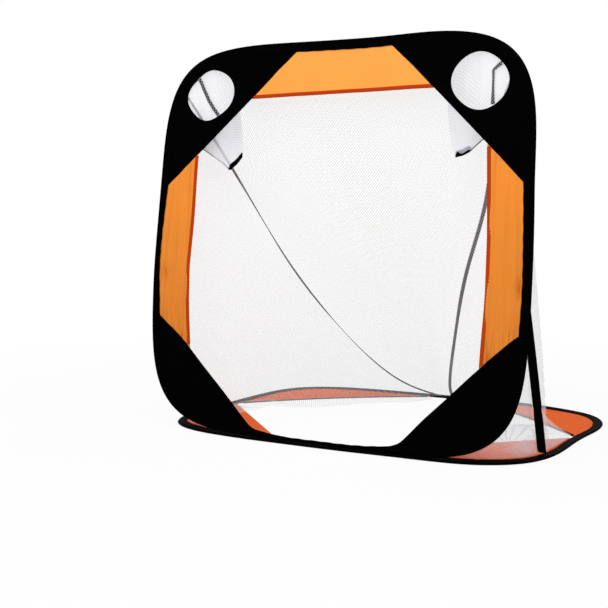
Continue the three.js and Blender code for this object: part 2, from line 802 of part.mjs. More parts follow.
// The same edge between the sleeves, where the seam binding holds it, from the side to the rear
function rearPanelEdge() {
  const cut = cornerCut(baseHoop, rearPanelAcross, rearPanelDown, true);
  const loop = hoopLoop(baseHoop, baseSleeveWidth - panelTuck);
  let line = [];
  cutOutline(loop, cut, hoopCorner(baseHoop, true), (leaves, enters, normal) => {
    line = [leaves, ...bowedEdge(leaves, enters, normal), enters];
    return [];
  });
  if (line[0].x < line[line.length - 1].x) line.reverse();
  const limitX = baseWidth / 2 - baseSleeveWidth - clearance - seamBindingWidth;
  const limitY = baseDepth - sleeveRadius - baseSleeveWidth - clearance - seamBindingWidth;
  const room = (p) => Math.min(limitX - p.x, limitY - p.y);
  const trimmed = [];
  line.forEach((p, i) => {
    if (room(p) >= 0) trimmed.push(p);
    const next = line[i + 1];
    if (next && room(p) >= 0 !== room(next) >= 0) {
      trimmed.push(p.clone().lerp(next, room(p) / (room(p) - room(next))));
    }
  });
  return trimmed;
}

function frontPanelOutline() {
  const frontPanelBack = baseDepth - rearPanelDown + sidePanelLap;
  const cut = cornerCut(baseHoop, frontPanelAcross, frontPanelBack, false);
  const loop = hoopLoop(baseHoop, baseSleeveWidth - panelTuck);
  return cutOutline(loop, cut, hoopCorner(baseHoop, false));
}

function frontCuts() {
  return {
    top: cornerCut(frontHoop, topGussetAcross, topGussetDown, true),
    bottom: cornerCut(frontHoop, bottomGussetAcross, bottomGussetUp, false),
  };
}

function frontLoop() {
  return hoopLoop(frontHoop, frontSleeveWidth - panelTuck);
}

function topGussetOutline() {
  return cutOutline(frontLoop(), frontCuts().top, hoopCorner(frontHoop, true));
}

// The lower gusset flares into the sleeve beside it
function bottomGussetOutline() {
  return cutOutline(frontLoop(), frontCuts().bottom, hoopCorner(frontHoop, false), (leaves, enters) => {
    const towards = leaves.clone().sub(enters).normalize();
    const from = enters.clone().addScaledVector(towards, gussetFlareUp + panelTuck);
    const bend = new THREE.Vector2(enters.x, enters.y + panelTuck);
    const to = new THREE.Vector2(enters.x - gussetFlareAcross, enters.y + panelTuck);
    const curve = new THREE.QuadraticBezierCurve(from, bend, to).getPoints(flarePoints);
    return [...curve, new THREE.Vector2(to.x, enters.y)];
  });
}

function levelCut(level) {
  return [new THREE.Vector2(0, level), new THREE.Vector2(frontWidth, level)];
}

function topPanelEdge() {
  return frontHeight - sleeveRadius - topPanelDepth;
}

function topPanelOutline() {
  const { top } = frontCuts();
  const leftTop = top.map((p) => new THREE.Vector2(-p.x, p.y));
  const middle = hoopMiddle(frontHoop);
  const above = new THREE.Vector2(0, frontHeight);
  let outline = cutOutline(frontLoop(), top, middle);
  outline = cutOutline(outline, leftTop, middle);
  return cutOutline(outline, levelCut(topPanelEdge()), above);
}

function sidePanelOutline() {
  const { top, bottom } = frontCuts();
  const middle = hoopMiddle(frontHoop);
  const inner = frontWidth / 2 - sidePanelDepth;
  const upright = [new THREE.Vector2(inner, 0), new THREE.Vector2(inner, frontHeight)];
  let outline = cutOutline(frontLoop(), top, middle);
  outline = cutOutline(outline, bottom, middle);
  return cutOutline(outline, upright, new THREE.Vector2(frontWidth, middle.y));
}

// Where a corner cut passes a level, or an upright line
function crossingAt(cut, axis, value) {
  const [from, to] = cut;
  return from.clone().lerp(to, (value - from[axis]) / (to[axis] - from[axis]));
}

function topBinding() {
  const edge = topPanelEdge() + clearance / 2;
  const end = crossingAt(frontCuts().top, 'y', edge).x - 2 * clearance;
  const points = [new THREE.Vector2(-end, edge), new THREE.Vector2(end, edge)];
  return tapeAlong(points, new THREE.Vector2(0, 1), bindingWidth, bindingWall);
}

function sideBinding() {
  const edge = frontWidth / 2 - sidePanelDepth + clearance / 2;
  const { top, bottom } = frontCuts();
  const high = crossingAt(top, 'x', edge).y - 2 * clearance;
  const low = crossingAt(bottom, 'x', edge).y + 2 * clearance;
  const points = [new THREE.Vector2(edge, low), new THREE.Vector2(edge, high)];
  return tapeAlong(points, new THREE.Vector2(1, 0), bindingWidth, bindingWall);
}

function seamBinding() {
  return tapeAlong(rearPanelEdge(), new THREE.Vector2(1, 1), seamBindingWidth, bindingWall);
}

// The right strap, from behind the front hoop's side down to the top of the base hoop's side
function strap() {
  const x = frontWidth / 2 - strapFromSide;
  const back = sleeveRadius + clearance + webbingThickness / 2;
  const top = front.localToWorld(new THREE.Vector3(x, strapHeight, -back));
  const foot = base.localToWorld(new THREE.Vector3(x, strapReach, back));
  const across = new THREE.Vector3(1, 0, 0);
  return ribbon([top, foot], [across, across], strapWidth, webbingThickness);
}

// Base hoop
const baseWire = wire(baseHoop, 3);
addPiece(base, 'base_hoop_wire', baseWire.geometry, springSteel());
addPiece(base, 'base_wire_ferrule', ferrule(baseWire), springSteel());
addPiece(base, 'base_sleeve_front', sleeveHalfRound(baseHoop, 3), blackFabric());
addPiece(base, 'base_sleeve_rear', sleeveHalfRound(baseHoop, 1), blackFabric());
addPiece(base, 'base_panel_rear_right', panel(rearPanelOutline()), baseOrangeFabric());
addPiece(base, 'base_panel_rear_left', panel(mirrored(rearPanelOutline())), baseOrangeFabric());
addPiece(base, 'base_panel_front_right', panel(frontPanelOutline()), baseOrangeFabric());
addPiece(base, 'base_panel_front_left', panel(mirrored(frontPanelOutline())), baseOrangeFabric());
addPiece(base, 'base_seam_right', seamBinding(), blackFabric());
addPiece(base, 'base_seam_left', mirroredGeometry(seamBinding()), blackFabric());

// Front hoop
const frontWire = wire(frontHoop, 0);
addPiece(front, 'front_hoop_wire', frontWire.geometry, springSteel());
addPiece(front, 'front_wire_ferrule', ferrule(frontWire), springSteel());
addPiece(front, 'front_sleeve', loft(sleeveRings(frontHoop)), blackFabric());
const holeRight = targetHole();
const holeLeft = new THREE.Vector2(-holeRight.x, holeRight.y);
addPiece(front, 'corner_gusset_top_right', panel(topGussetOutline(), holeRight), blackFabric());
addPiece(front, 'corner_gusset_top_left', panel(mirrored(topGussetOutline()), holeLeft), blackFabric());
addPiece(front, 'corner_gusset_bottom_right', panel(bottomGussetOutline()), blackFabric());
addPiece(front, 'corner_gusset_bottom_left', panel(mirrored(bottomGussetOutline())), blackFabric());
addPiece(front, 'top_panel', panel(topPanelOutline()), orangeFabric());
addPiece(front, 'side_panel_right', panel(sidePanelOutline()), orangeFabric());
addPiece(front, 'side_panel_left', panel(mirrored(sidePanelOutline())), orangeFabric());
addPiece(front, 'top_panel_binding', topBinding(), redOrangeTape());
addPiece(front, 'side_binding_right', sideBinding(), redOrangeTape());
addPiece(front, 'side_binding_left', mirroredGeometry(sideBinding()), redOrangeTape());

// Target pockets
addPiece(front, 'pocket_facing_right', facingRing(), blackFabric());
addPiece(front, 'pocket_facing_left', mirroredGeometry(facingRing()), blackFabric());
addPiece(front, 'pocket_net_right', pocket(), whiteMesh());
addPiece(front, 'pocket_net_left', mirroredGeometry(pocket()), whiteMesh());
addPiece(front, 'pocket_hem_right', pocketHem(), blackFabric());
addPiece(front, 'pocket_hem_left', mirroredGeometry(pocketHem()), blackFabric());

// Net, seam tapes and straps between the hoops
addPiece(loose, 'net_back', backNet(), whiteMesh());
addPiece(loose, 'net_right', sideNet(), whiteMesh());
addPiece(loose, 'net_left', mirroredGeometry(sideNet()), whiteMesh());
addPiece(loose, 'seam_tape_right', seamTape(), greyTape());
addPiece(loose, 'seam_tape_left', mirroredGeometry(seamTape()), greyTape());
addPiece(loose, 'strap_right', strap(), blackWebbing());
addPiece(loose, 'strap_left', mirroredGeometry(strap()), blackWebbing());

export default goal;
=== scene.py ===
import math

import bpy
import numpy as np
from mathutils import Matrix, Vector


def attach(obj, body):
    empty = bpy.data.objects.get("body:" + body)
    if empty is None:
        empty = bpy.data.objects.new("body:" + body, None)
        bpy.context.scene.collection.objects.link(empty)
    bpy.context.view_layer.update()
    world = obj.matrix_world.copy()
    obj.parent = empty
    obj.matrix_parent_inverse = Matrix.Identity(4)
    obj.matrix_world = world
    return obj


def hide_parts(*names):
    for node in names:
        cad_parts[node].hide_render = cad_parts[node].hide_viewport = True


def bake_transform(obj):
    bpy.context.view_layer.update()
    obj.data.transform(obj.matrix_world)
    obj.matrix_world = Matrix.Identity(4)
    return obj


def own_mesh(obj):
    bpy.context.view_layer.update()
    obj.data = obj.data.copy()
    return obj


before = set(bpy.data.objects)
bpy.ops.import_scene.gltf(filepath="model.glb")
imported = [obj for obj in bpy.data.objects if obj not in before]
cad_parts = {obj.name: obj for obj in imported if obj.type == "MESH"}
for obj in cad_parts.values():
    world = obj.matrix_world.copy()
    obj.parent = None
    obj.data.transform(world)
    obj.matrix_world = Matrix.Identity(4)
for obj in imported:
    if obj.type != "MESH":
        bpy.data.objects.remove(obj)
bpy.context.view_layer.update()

# Camera
# The goal is seen from in front and from its right, a little over half its height from the ground.
camera_place = (1.4950, -2.7065, 0.6674)
camera_degrees = (85.368, 0.0, 29.656)
camera_lens = 64.22
camera_sensor = 36
bpy.ops.object.camera_add(location=camera_place, rotation=[math.radians(a) for a in camera_degrees])
camera = bpy.context.active_object
camera.name = "photo_camera"
camera.data.lens = camera_lens
camera.data.sensor_width = camera_sensor
bpy.context.scene.camera = camera
bpy.context.scene.view_settings.view_transform = "Standard"

# Floor
# A plain pale studio floor that keeps the goal's soft shadow. Away from the goal it turns into the
# white of the background.
floor_radius = 30
floor_middle = (0, 0.4, -0.0006)
floor_grey = 0.88
bpy.ops.mesh.primitive_circle_add(vertices=96, radius=floor_radius, fill_type="NGON", location=floor_middle)
floor = bpy.context.active_object
floor.name = "studio_floor"


def new_material(name):
    made = bpy.data.materials.new(name)
    made.use_nodes = True
    made.node_tree.nodes.clear()
    return made, made.node_tree


def add(tree, kind, inputs=None, **settings):
    node = tree.nodes.new(kind)
    for key, value in settings.items():
        setattr(node, key, value)
    for key, value in (inputs or {}).items():
        if isinstance(value, bpy.types.NodeSocket):
            tree.links.new(value, node.inputs[key])
        else:
            node.inputs[key].default_value = value
    return node


def compute(tree, operation, *values, **settings):
    return add(tree, "ShaderNodeMath", dict(enumerate(values)), operation=operation, **settings).outputs[0]


def carry(tree, value, low, high, from_low=0.0, from_high=1.0):
    """Carries a value from one range to another and holds it there"""
    return add(tree, "ShaderNodeMapRange", {"Value": value, "From Min": from_low, "From Max": from_high,
                                            "To Min": low, "To Max": high}).outputs[0]


def own_place(tree):
    return add(tree, "ShaderNodeTexCoord").outputs["Object"]


def seen_directly(tree):
    """1 where the ray comes from the camera, a reflection or a refraction"""
    path = add(tree, "ShaderNodeLightPath").outputs
    either = compute(tree, "ADD", path["Is Camera Ray"], path["Is Glossy Ray"])
    return compute(tree, "ADD", either, path["Is Transmission Ray"], use_clamp=True)


floor_material, tree = new_material("pale_floor")
distance = add(tree, "ShaderNodeVectorMath", {0: own_place(tree)}, operation="LENGTH").outputs["Value"]
whitening = carry(tree, distance, 0.92, 1.0, from_low=0.9, from_high=3.0)
share = compute(tree, "MULTIPLY", whitening, seen_directly(tree))
matt = add(tree, "ShaderNodeBsdfDiffuse", {"Color": (floor_grey, floor_grey, floor_grey, 1)})
white = add(tree, "ShaderNodeEmission", {"Color": (1, 1, 1, 1), "Strength": 1.0})
mixed = add(tree, "ShaderNodeMixShader", {0: share, 1: matt.outputs[0], 2: white.outputs[0]})
add(tree, "ShaderNodeOutputMaterial", {"Surface": mixed.outputs[0]})
floor.data.materials.append(floor_material)

# Light
# A white room gives most of the light, with a large soft lamp high on each side in front and a small
# one overhead, so that the goal's upper part is a little brighter.
room_level = 0.62
world = bpy.data.worlds.new("white_room")
world.use_nodes = True
tree = world.node_tree
tree.nodes.clear()
room = add(tree, "ShaderNodeBackground", {"Color": (1, 1, 1, 1), "Strength": room_level})
backdrop = add(tree, "ShaderNodeBackground", {"Color": (1, 1, 1, 1), "Strength": 1.0})
shown = add(tree, "ShaderNodeMixShader",
            {0: seen_directly(tree), 1: room.outputs[0], 2: backdrop.outputs[0]})
add(tree, "ShaderNodeOutputWorld", {"Surface": shown.outputs[0]})
bpy.context.scene.world = world


def soft_lamp(name, location, width, power):
    aim = Vector((0, 0.3, 0.5)) - Vector(location)
    turn = aim.to_track_quat("-Z", "Y").to_euler()
    bpy.ops.object.light_add(type="AREA", location=location, rotation=turn)
    lamp = bpy.context.active_object
    lamp.name = name
    lamp.data.size = width
    lamp.data.energy = power


soft_lamp("left_lamp", (-2.4, -3.6, 3.4), 2.6, 50)
soft_lamp("right_lamp", (3.4, -2.4, 2.2), 2.2, 32)
soft_lamp("overhead_lamp", (0.3, -1.1, 2.7), 1.5, 16)

# Base wire
# The base hoop is one length of tempered steel wire, joined end to end in a crimped ferrule. It lies
# hidden in the sleeve. The front hoop's wire is of the same kind.
mm = 0.001
# How finely outlines are worked out, and how often a line through knots is smoothed
fine_steps, knot_steps, soft_passes = 14401, 257, 24
wire_bead = 0.0044
wire_radius = 0.00175
wire_stations, wire_sides = 720, 12
# drift is how far the hoop's edge stands out and slack how much its sleeve is wider, in mm by bearing
base_hoop = {
    "width": 1.258, "height": 1.010, "power": 4.4, "sleeve": 0.030,
    "drift": [(-90, 11.4), (-82, 12.1), (-74, 11.4), (-66, 9.7), (-60, 9), (-55, 15), (-50, 26),
              (-42, 26.6), (-38, 21.5), (-33, 20.5), (-30, 18), (-26, 13.5), (-14, 6), (-4, 2), (4, 7),
              (14, 18), (20, 12.5), (26, -1), (32, -20), (37, -35), (42, -43), (48, -38), (54, -26),
              (70, 0), (172, 0), (188, 0), (240, 6), (270, 11.4)],
    "slack": [(-90, 0), (270, 0)]}
drift_full, drift_gone = 0.035, 0.110
# How far the front hoop draws up the sleeve's inner edge, in mm by the turn from the goal line
sleeve_rise = [(0, 2), (25, 4), (36, 7), (46, 7), (54, 5), (64, 3), (74, 1), (88, 0), (180, 0)]
rise_reach = 0.07


def noise(tree, place, scale, detail, **inputs):
    inputs = {"Vector": place, "Scale": scale, "Detail": detail, **inputs}
    return add(tree, "ShaderNodeTexNoise", inputs).outputs["Fac"]


def mix(tree, share, first, second):
    inputs = {"Factor": share, "A": first, "B": second}
    return add(tree, "ShaderNodeMix", inputs, data_type="RGBA").outputs["Result"]


def finish_material(tree, inputs):
    shader = add(tree, "ShaderNodeBsdfPrincipled", inputs)
    add(tree, "ShaderNodeOutputMaterial", {"Surface": shader.outputs[0]})


wire_material, tree = new_material("tempered_wire")
drawn = noise(tree, own_place(tree), 900.0, 3.0)
finish_material(tree, {"Base Color": mix(tree, drawn, (0.24, 0.26, 0.29, 1), (0.36, 0.37, 0.39, 1)),
                       "Metallic": 1.0, "Roughness": carry(tree, drawn, 0.28, 0.46)})


def points(*parts):
    return np.stack(parts, axis=1)


def run(line):
    """The length of a line up to each of its points"""
    return np.concatenate([[0], np.cumsum(np.linalg.norm(np.diff(line, axis=0), axis=1))])


def ramp(value, start, end):
    """0 up to start, 1 from end on and even between, whichever of the two is higher"""
    return np.clip((value - start) / (end - start), 0, 1)


def eased(share):
    return share * share * (3 - 2 * share)


def nearest(share, count):
    """The number of the nearest of count equal steps"""
    return np.rint(share * count).astype(int)


def soft_line(knots, at):
    """A line through knots, rounded where it bends"""
    knots = np.asarray(knots, float)
    fine = np.linspace(knots[0, 0], knots[-1, 0], knot_steps)
    level = np.interp(fine, knots[:, 0], knots[:, 1])
    for _ in range(soft_passes):
        level[1:-1] = (level[:-2] + 2 * level[1:-1] + level[2:]) / 4
    return np.interp(at, fine, level)


def hoop_place(hoop, angles, inset):
    """Points of a hoop in its own plane, and the outward direction at each"""
    half_width, half_height, power = hoop["width"] / 2, hoop["height"] / 2, hoop["power"]
    c, s = np.cos(angles), np.sin(angles)
    reach = (np.abs(c / half_width) ** power + np.abs(s / half_height) ** power) ** (-1 / power)
    x, y = reach * c, reach * s
    out_x = np.sign(c) * np.abs(x / half_width) ** (power - 1) / half_width
    out_y = np.sign(s) * np.abs(y / half_height) ** (power - 1) / half_height
    length = np.hypot(out_x, out_y)
    out_x, out_y = out_x / length, out_y / length
    return x - inset * out_x, y - inset * out_y + half_height - wire_bead, out_x, out_y


def hoop_line(hoop, angles, inset):
    return points(*hoop_place(hoop, angles, inset)[:2])


def bearing_of(angle):
    """Degrees from -90 in the middle of the goal line, round by the right, to 270"""
    return np.mod(np.degrees(angle) + 90, 360) - 90


def hoop_bearing(hoop, x, y):
    """A point's bearing from the hoop's middle, its inset from the hoop's edge, and the way outwards"""
    angle = np.arctan2(y - hoop["height"] / 2 + wire_bead, x)
    edge_x, edge_y, out_x, out_y = hoop_place(hoop, angle, 0.0)
    return bearing_of(angle), (edge_x - x) * out_x + (edge_y - y) * out_y, out_x, out_y


def drifted(hoop, x, y):
    """A sprung hoop is never quite even: its edge and what is sewn to it stand a little off its line"""
    bearing, inset, out_x, out_y = hoop_bearing(hoop, x, y)
    drift = soft_line(hoop["drift"], bearing) * mm * eased(ramp(inset, drift_gone, drift_full))
    return x + drift * out_x, y + drift * out_y


def even_angles(hoop, stations):
    """Angles of stations an even length apart, from the middle of the goal line round to the right"""
    fine = np.linspace(-np.pi / 2, 3 * np.pi / 2, fine_steps)
    length = run(hoop_line(hoop, fine, 0.0))
    return np.interp(np.arange(stations) / stations * length[-1], length, fine), length[-1]


def on_base(x, y, height):
    """A place on the base hoop. Round its front the sleeve's inner edge is drawn up a little"""
    bearing, inset, _, _ = hoop_bearing(base_hoop, x, y)
    from_front = np.abs(np.mod(bearing + 90 + 180, 360) - 180)
    width = base_hoop["sleeve"]
    share = ramp(inset, 0, width) * ramp(inset, width + rise_reach, width)
    rise = soft_line(sleeve_rise, from_front) * mm * share
    return points(*drifted(base_hoop, x, y), wire_bead + height + rise)


def cloth(name, columns, rows, lay):
    """A cut of cloth, columns by rows. lay gives each point its place and its place on the flat cut"""
    bpy.ops.object.select_all(action="DESELECT")
    bpy.ops.mesh.primitive_grid_add(x_subdivisions=columns, y_subdivisions=rows, size=1)
    piece = bpy.context.active_object
    piece.name = name
    mesh = piece.data
    mesh.name = name
    flat = np.array([vertex.co[:2] for vertex in mesh.vertices]) + 0.5
    places, cut = lay(flat[:, 0], flat[:, 1])
    mesh.vertices.foreach_set("co", np.asarray(places, dtype=np.float32).ravel())
    mesh.uv_layers[0].name = "cloth"
    corner = np.array([loop.vertex_index for loop in mesh.loops])
    mesh.uv_layers["cloth"].data.foreach_set("uv", np.asarray(cut, dtype=np.float32)[corner].ravel())
    mesh.update()
    bpy.ops.object.shade_smooth()
    return piece


def close_seams(piece, distance=0.00002, cap_ends=False):
    """Joins the edges of a cloth that meets itself, and turns its faces outwards"""
    bpy.ops.object.mode_set(mode="EDIT")
    bpy.ops.mesh.select_all(action="SELECT")
    bpy.ops.mesh.remove_doubles(threshold=distance)
    if cap_ends:
        bpy.ops.mesh.select_all(action="DESELECT")
        bpy.ops.mesh.select_non_manifold()
        bpy.ops.mesh.edge_face_add()
        bpy.ops.mesh.select_all(action="SELECT")
    bpy.ops.mesh.normals_make_consistent(inside=False)
    bpy.ops.object.mode_set(mode="OBJECT")
    return piece


def dress(piece, material, body, slot, *nodes):
    piece.data.materials.clear()
    piece.data.materials.append(material)
    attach(piece, body)
    if nodes:
        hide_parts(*nodes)


def wire(name, hoop, to_frame):
    """A round wire that closes on itself, in the middle of the sleeve's bead"""
    angles, length = even_angles(hoop, wire_stations)

    def lay(u, v):
        station = nearest(u, wire_stations) % wire_stations
        turn = 2 * np.pi * v
        x, y, _, _ = hoop_place(hoop, angles[station], wire_bead - wire_radius * np.cos(turn))
        return to_frame(x, y, wire_radius * np.sin(turn)), points(u * length, turn * wire_radius)

    return close_seams(cloth(name, wire_stations, wire_sides, lay))


base_wire = wire("base_wire", base_hoop, on_base)
dress(base_wire, wire_material, "base_frame", "spring_steel", "base_hoop_wire")
for name in ("base_wire_ferrule", "front_wire_ferrule"):
    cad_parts[name].data.materials.clear()
    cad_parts[name].data.materials.append(wire_material)

# Base sleeve
# A folded tape of black woven polyester, sewn round the base wire. It lies flat on the ground, and
# its two flaps hold the edges of the base panels.
sleeve_stations = 900
black_shade = (0.0005, 0.0005, 0.0005)
# The base sleeve's black has painted light: it is a little lighter than the other blacks, for the grazing
# light that its top catches
black_with_painted_light = (0.0009, 0.0008, 0.0009)
# The colour that painted shade darkens a cloth towards
painted_shade_colour = (0.10, 0.012, 0.0, 1)


def cloth_map(tree):
    """The place on a piece's flat cut, as a vector and as its two parts"""
    cut = add(tree, "ShaderNodeUVMap", uv_map="cloth").outputs[0]
    return cut, add(tree, "ShaderNodeSeparateXYZ", {0: cut}).outputs


def fabric(name, colour, roughness, specular, thread=0.0011, relief=0.12, mottle=0.05, painted_shades=()):
    """A plain weave with a slightly uneven dye. Each painted shade darkens it by a depth, between the
    heights on the cut where it is full and gone. One with a spacing, across and along, comes in lines:
    painted shade where creases and folds are shaded"""
    made, tree = new_material(name)
    cut, flat = cloth_map(tree)
    turns = [compute(tree, "MULTIPLY", flat[axis], 2 * math.pi / thread) for axis in "XY"]
    weave = compute(tree, "MULTIPLY", *(compute(tree, "SINE", turn) for turn in turns))
    place = own_place(tree)
    dye = noise(tree, place, 9.0, 4.0, Roughness=0.6)
    low = tuple(c * (1 - mottle) for c in colour) + (1,)
    high = tuple(min(c * (1 + mottle), 1.0) for c in colour) + (1,)
    tone = mix(tree, dye, low, high)
    # Painted shade: the cloth is darkened in lines where its folds and creases are shaded, and towards its
    # foot
    for spacing, depth, full, gone in painted_shades:
        dark = carry(tree, flat["Y"], depth, 0.0, from_low=full, from_high=gone)
        if spacing:
            stretch = {0: cut, 1: (1 / spacing[0], 1 / spacing[1], 1.0)}
            stretched = add(tree, "ShaderNodeVectorMath", stretch, operation="MULTIPLY")
            lines = noise(tree, stretched.outputs[0], 1.0, 1.0)
            lines = carry(tree, lines, 0.0, 1.0, from_low=0.50, from_high=0.72)
            dark = compute(tree, "MULTIPLY", dark, lines)
        tone = mix(tree, dark, tone, painted_shade_colour)
    rough = carry(tree, noise(tree, place, 160.0, 2.0), roughness - 0.06, roughness + 0.06)
    bump = add(tree, "ShaderNodeBump", {"Height": weave, "Strength": relief, "Distance": thread / 4})
    finish_material(tree, {"Base Color": tone, "Roughness": rough, "Normal": bump.outputs[0],
                           "Specular IOR Level": specular})
    return made


def sleeve_section(width):
    """The sleeve's cloth in section, from its slit over the top, the bead and the underside and back into
    the slit, as insets from the outer edge and heights. The bead's fullest height was drawn as 2.75"""
    share, outer = np.array([(0.0, 0.0), (0.03, 1.0), (0.09, 1.95), (0.17, 2.65), (0.26, 2.75), (0.36, 2.3),
                             (0.44, 1.75), (0.52, 1.7), (0.6, 1.95), (0.68, 2.15), (0.76, 2.1), (0.83, 1.75),
                             (0.88, 1.35), (0.93, 1.6), (0.97, 1.5), (1.0, 1.2)]).T
    inner_share, inner = np.array([(1.0, 0.65), (0.88, 0.65), (0.76, 1.1), (0.6, 1.1), (0.46, 1.1),
                                   (0.3, 1.9), (0.18, 2.0), (0.1, 1.5), (0.05, 0.8), (0.03, 0.0)]).T
    insets = np.concatenate([share[::-1], share[1:], inner_share, inner_share[-2::-1]])
    heights = np.concatenate([outer[::-1], -outer[1:], -inner, inner[-2::-1]]) / 2.75
    return points(insets * width, heights * wire_bead)


def sleeve(name, hoop, to_frame, droop, seed):
    """A sleeve as one folded cloth round the hoop, with the slit for the panels on its inner edge"""
    angles, length = even_angles(hoop, sleeve_stations)
    section = sleeve_section(hoop["sleeve"])
    girth = run(section)

    def lay(u, v):
        station = nearest(u, sleeve_stations)
        side = nearest(v, len(section)) % len(section)
        inset, level = section[side].T
        share = inset / hoop["sleeve"]
        angle = angles[station % sleeve_stations]
        # Where the sleeve is wider or narrower, only its flat part changes, not the bead round the wire
        slack = soft_line(hoop["slack"], bearing_of(angle)) * mm
        x, y, out_x, out_y = hoop_place(hoop, angle, inset + slack * ramp(share, 0.3, 1.0))
        # Whole numbers of waves round the hoop keep the puckers in step where the tube closes
        turn = 2 * np.pi * station / sleeve_stations
        pucker = np.sin(turn * 171 + seed) * np.sin(turn * 47 + 2 * seed)
        pucker = pucker + 0.6 * np.sin(turn * 223 + 1.3 * seed)
        wave = np.sin(turn * 23 + seed) + 0.7 * np.sin(turn * 61 + 3 * seed)
        height = level * (1 + 0.08 * pucker * share) + share * (droop + 0.00018 * pucker + 0.00035 * wave)
        edge = 0.0005 * np.sin(turn * 89 + seed) * ramp(share, 0.75, 1.0)
        return (to_frame(x - edge * out_x, y - edge * out_y, height),
                points(station / sleeve_stations * length, girth[side]))

    return close_seams(cloth(name, sleeve_stations, len(section), lay))


# The base sleeve's cloth has painted light in its slightly lighter black
base_black = fabric("base_sleeve_polyester", black_with_painted_light, roughness=0.6, specular=0.008)
base_sleeve = sleeve("base_sleeve_cloth", base_hoop, on_base, -0.0012, 1.0)
dress(base_sleeve, base_black, "base_frame", "black_fabric", "base_sleeve_front", "base_sleeve_rear")

# Rear base panels
# Orange nylon fills the two rear corners of the base. Each is cut on a bow across the corner, and
# its curved edges are held in the sleeve.
sides = ((1, "right"), (-1, "left"))
panel_tuck = 0.012
panel_wall = 0.0009
panel_columns, panel_rows = 72, 48
rear_bow = 0.040
base_orange = fabric("base_nylon", (0.90, 0.140, 0.020), roughness=0.7, specular=0.05, mottle=0.07)


def thicken(piece, thickness):
    """Gives a cloth its thickness, half to each side"""
    solidify = piece.modifiers.new("cloth_thickness", "SOLIDIFY")
    solidify.thickness = thickness
    solidify.offset = 0
    bpy.ops.object.modifier_apply(modifier=solidify.name)
    return piece


def ripple(along, wavelength, seed):
    """A smooth uneven wave, from about -1 to 1"""
    total = np.zeros_like(along, dtype=float)
    for k in range(5):
        stretch = 1.0 + 0.37 * k + 0.11 * math.sin(seed * 1.7 + k)
        total += np.sin(2 * np.pi * along / (wavelength * stretch) + seed * 2.3 + 1.9 * k * seed)
    return total / 2.6


def along_line(line, share):
    """Points at shares of a line's length"""
    length = run(line)
    return points(*(np.interp(share * length[-1], length, part) for part in np.transpose(line)))


def even_line(line, count):
    return along_line(line, np.linspace(0, 1, count))


def square_to(steps):
    return points(-steps[:, 1], steps[:, 0]) / np.hypot(steps[:, 0], steps[:, 1])[:, None]


def corner_line(across, along, far):
    """A cut across the right front or right far corner of the base hoop, from its leg to its side"""
    side = base_hoop["width"] / 2
    level = base_hoop["height"] - wire_bead if far else -wire_bead
    return np.array([(side - across, level), (side, level - along if far else level + along)])


def towards_corner(hoop, cut, start, direction):
    """Turns a direction at a point to the side of the hoop's corner"""
    corner = np.array([hoop["width"] / 2, cut[0][1]])
    return direction if np.dot(direction, corner - start) > 0 else -direction


def held_arc(hoop, cut, count):
    """The edge that the sleeve holds of a panel beyond a cut, as points an even length apart"""
    inset = hoop["sleeve"] - panel_tuck
    start, end = np.array(cut)
    across = towards_corner(hoop, cut, start, np.array([start[1] - end[1], end[0] - start[0]]))
    fine = np.linspace(-np.pi, 2 * np.pi, 12001)
    beyond = (hoop_line(hoop, fine, inset) - start) @ across > 0
    inside = np.flatnonzero(beyond & (fine > -np.pi / 2) & (fine < np.pi / 2))
    stretch = fine[inside[0]:inside[-1] + 1]
    length = run(hoop_line(hoop, stretch, inset))
    return hoop_line(hoop, np.interp(np.linspace(0, length[-1], count), length, stretch), inset)


def bowed_edge(cut, bow, share):
    """Points at shares of a base panel's free edge, which bows towards the corner"""
    first, last = held_arc(base_hoop, cut, 2)
    chord = last - first
    out = towards_corner(base_hoop, cut, first, square_to(chord[None])[0])
    return first + share[:, None] * chord + (4 * share * (1 - share) * bow)[:, None] * out


def base_panel(name, cut, bow, side, level, sag, waves):
    """A panel between the base hoop's corner and a cut, its threads square to the hoop. It lies on the
    ground, a little slack. A wave has its direction, its length, its depth and a seed"""
    arc = held_arc(base_hoop, cut, panel_columns + 1)

    def lay(u, v):
        edge = bowed_edge(cut, bow, u)
        place = edge + v[:, None] * (along_line(arc, u) - edge)
        x, y = place.T
        folds = sum(depth * ripple(x * turn_x + y * turn_y, length, seed + side)
                    for turn_x, turn_y, length, depth, seed in waves)
        return on_base(side * x, y, level + np.sin(np.pi * np.clip(v, 0, 1)) * (folds - sag)), place

    return thicken(close_seams(cloth(name, panel_columns, panel_rows, lay), 0.0), panel_wall)


rear_line = corner_line(across=0.617, along=0.533, far=True)
rear_waves = [(0.8, 0.6, 0.11, 0.0010, 2.0), (0.5, -1.0, 0.19, 0.0012, 5.0)]
for side, hand in sides:
    rear_panel = base_panel(f"base_rear_cloth_{hand}", rear_line, rear_bow, side, level=-0.0012, sag=0.0012,
                            waves=rear_waves)
    dress(rear_panel, base_orange, "base_frame", "base_orange_fabric", f"base_panel_rear_{hand}")

# Seam bindings
# A black tape is folded over the bowed edge of each rear panel. The foot of the net is sewn down
# with it.
binding_width = 0.009
binding_wall = 0.0010
binding_slit = 0.0018
stitch_step = 0.009
seam_level = -0.0014
seam_points = 161


def tape_section(width):
    """A tape folded over an edge at 0, open towards the cloth, drawn in where it is stitched"""
    half = binding_slit / 2
    top = binding_wall + half
    upper = np.array([(width, top - 0.0004), (width * 0.8, top - 0.0003), (width * 0.5, top), (0.0, top),
                      (-binding_wall, binding_slit / 3)])
    lip = np.array([(0.0004, half), (width, half)])
    return np.concatenate([upper, upper[::-1] * (1, -1), lip[::-1] * (1, -1), lip])


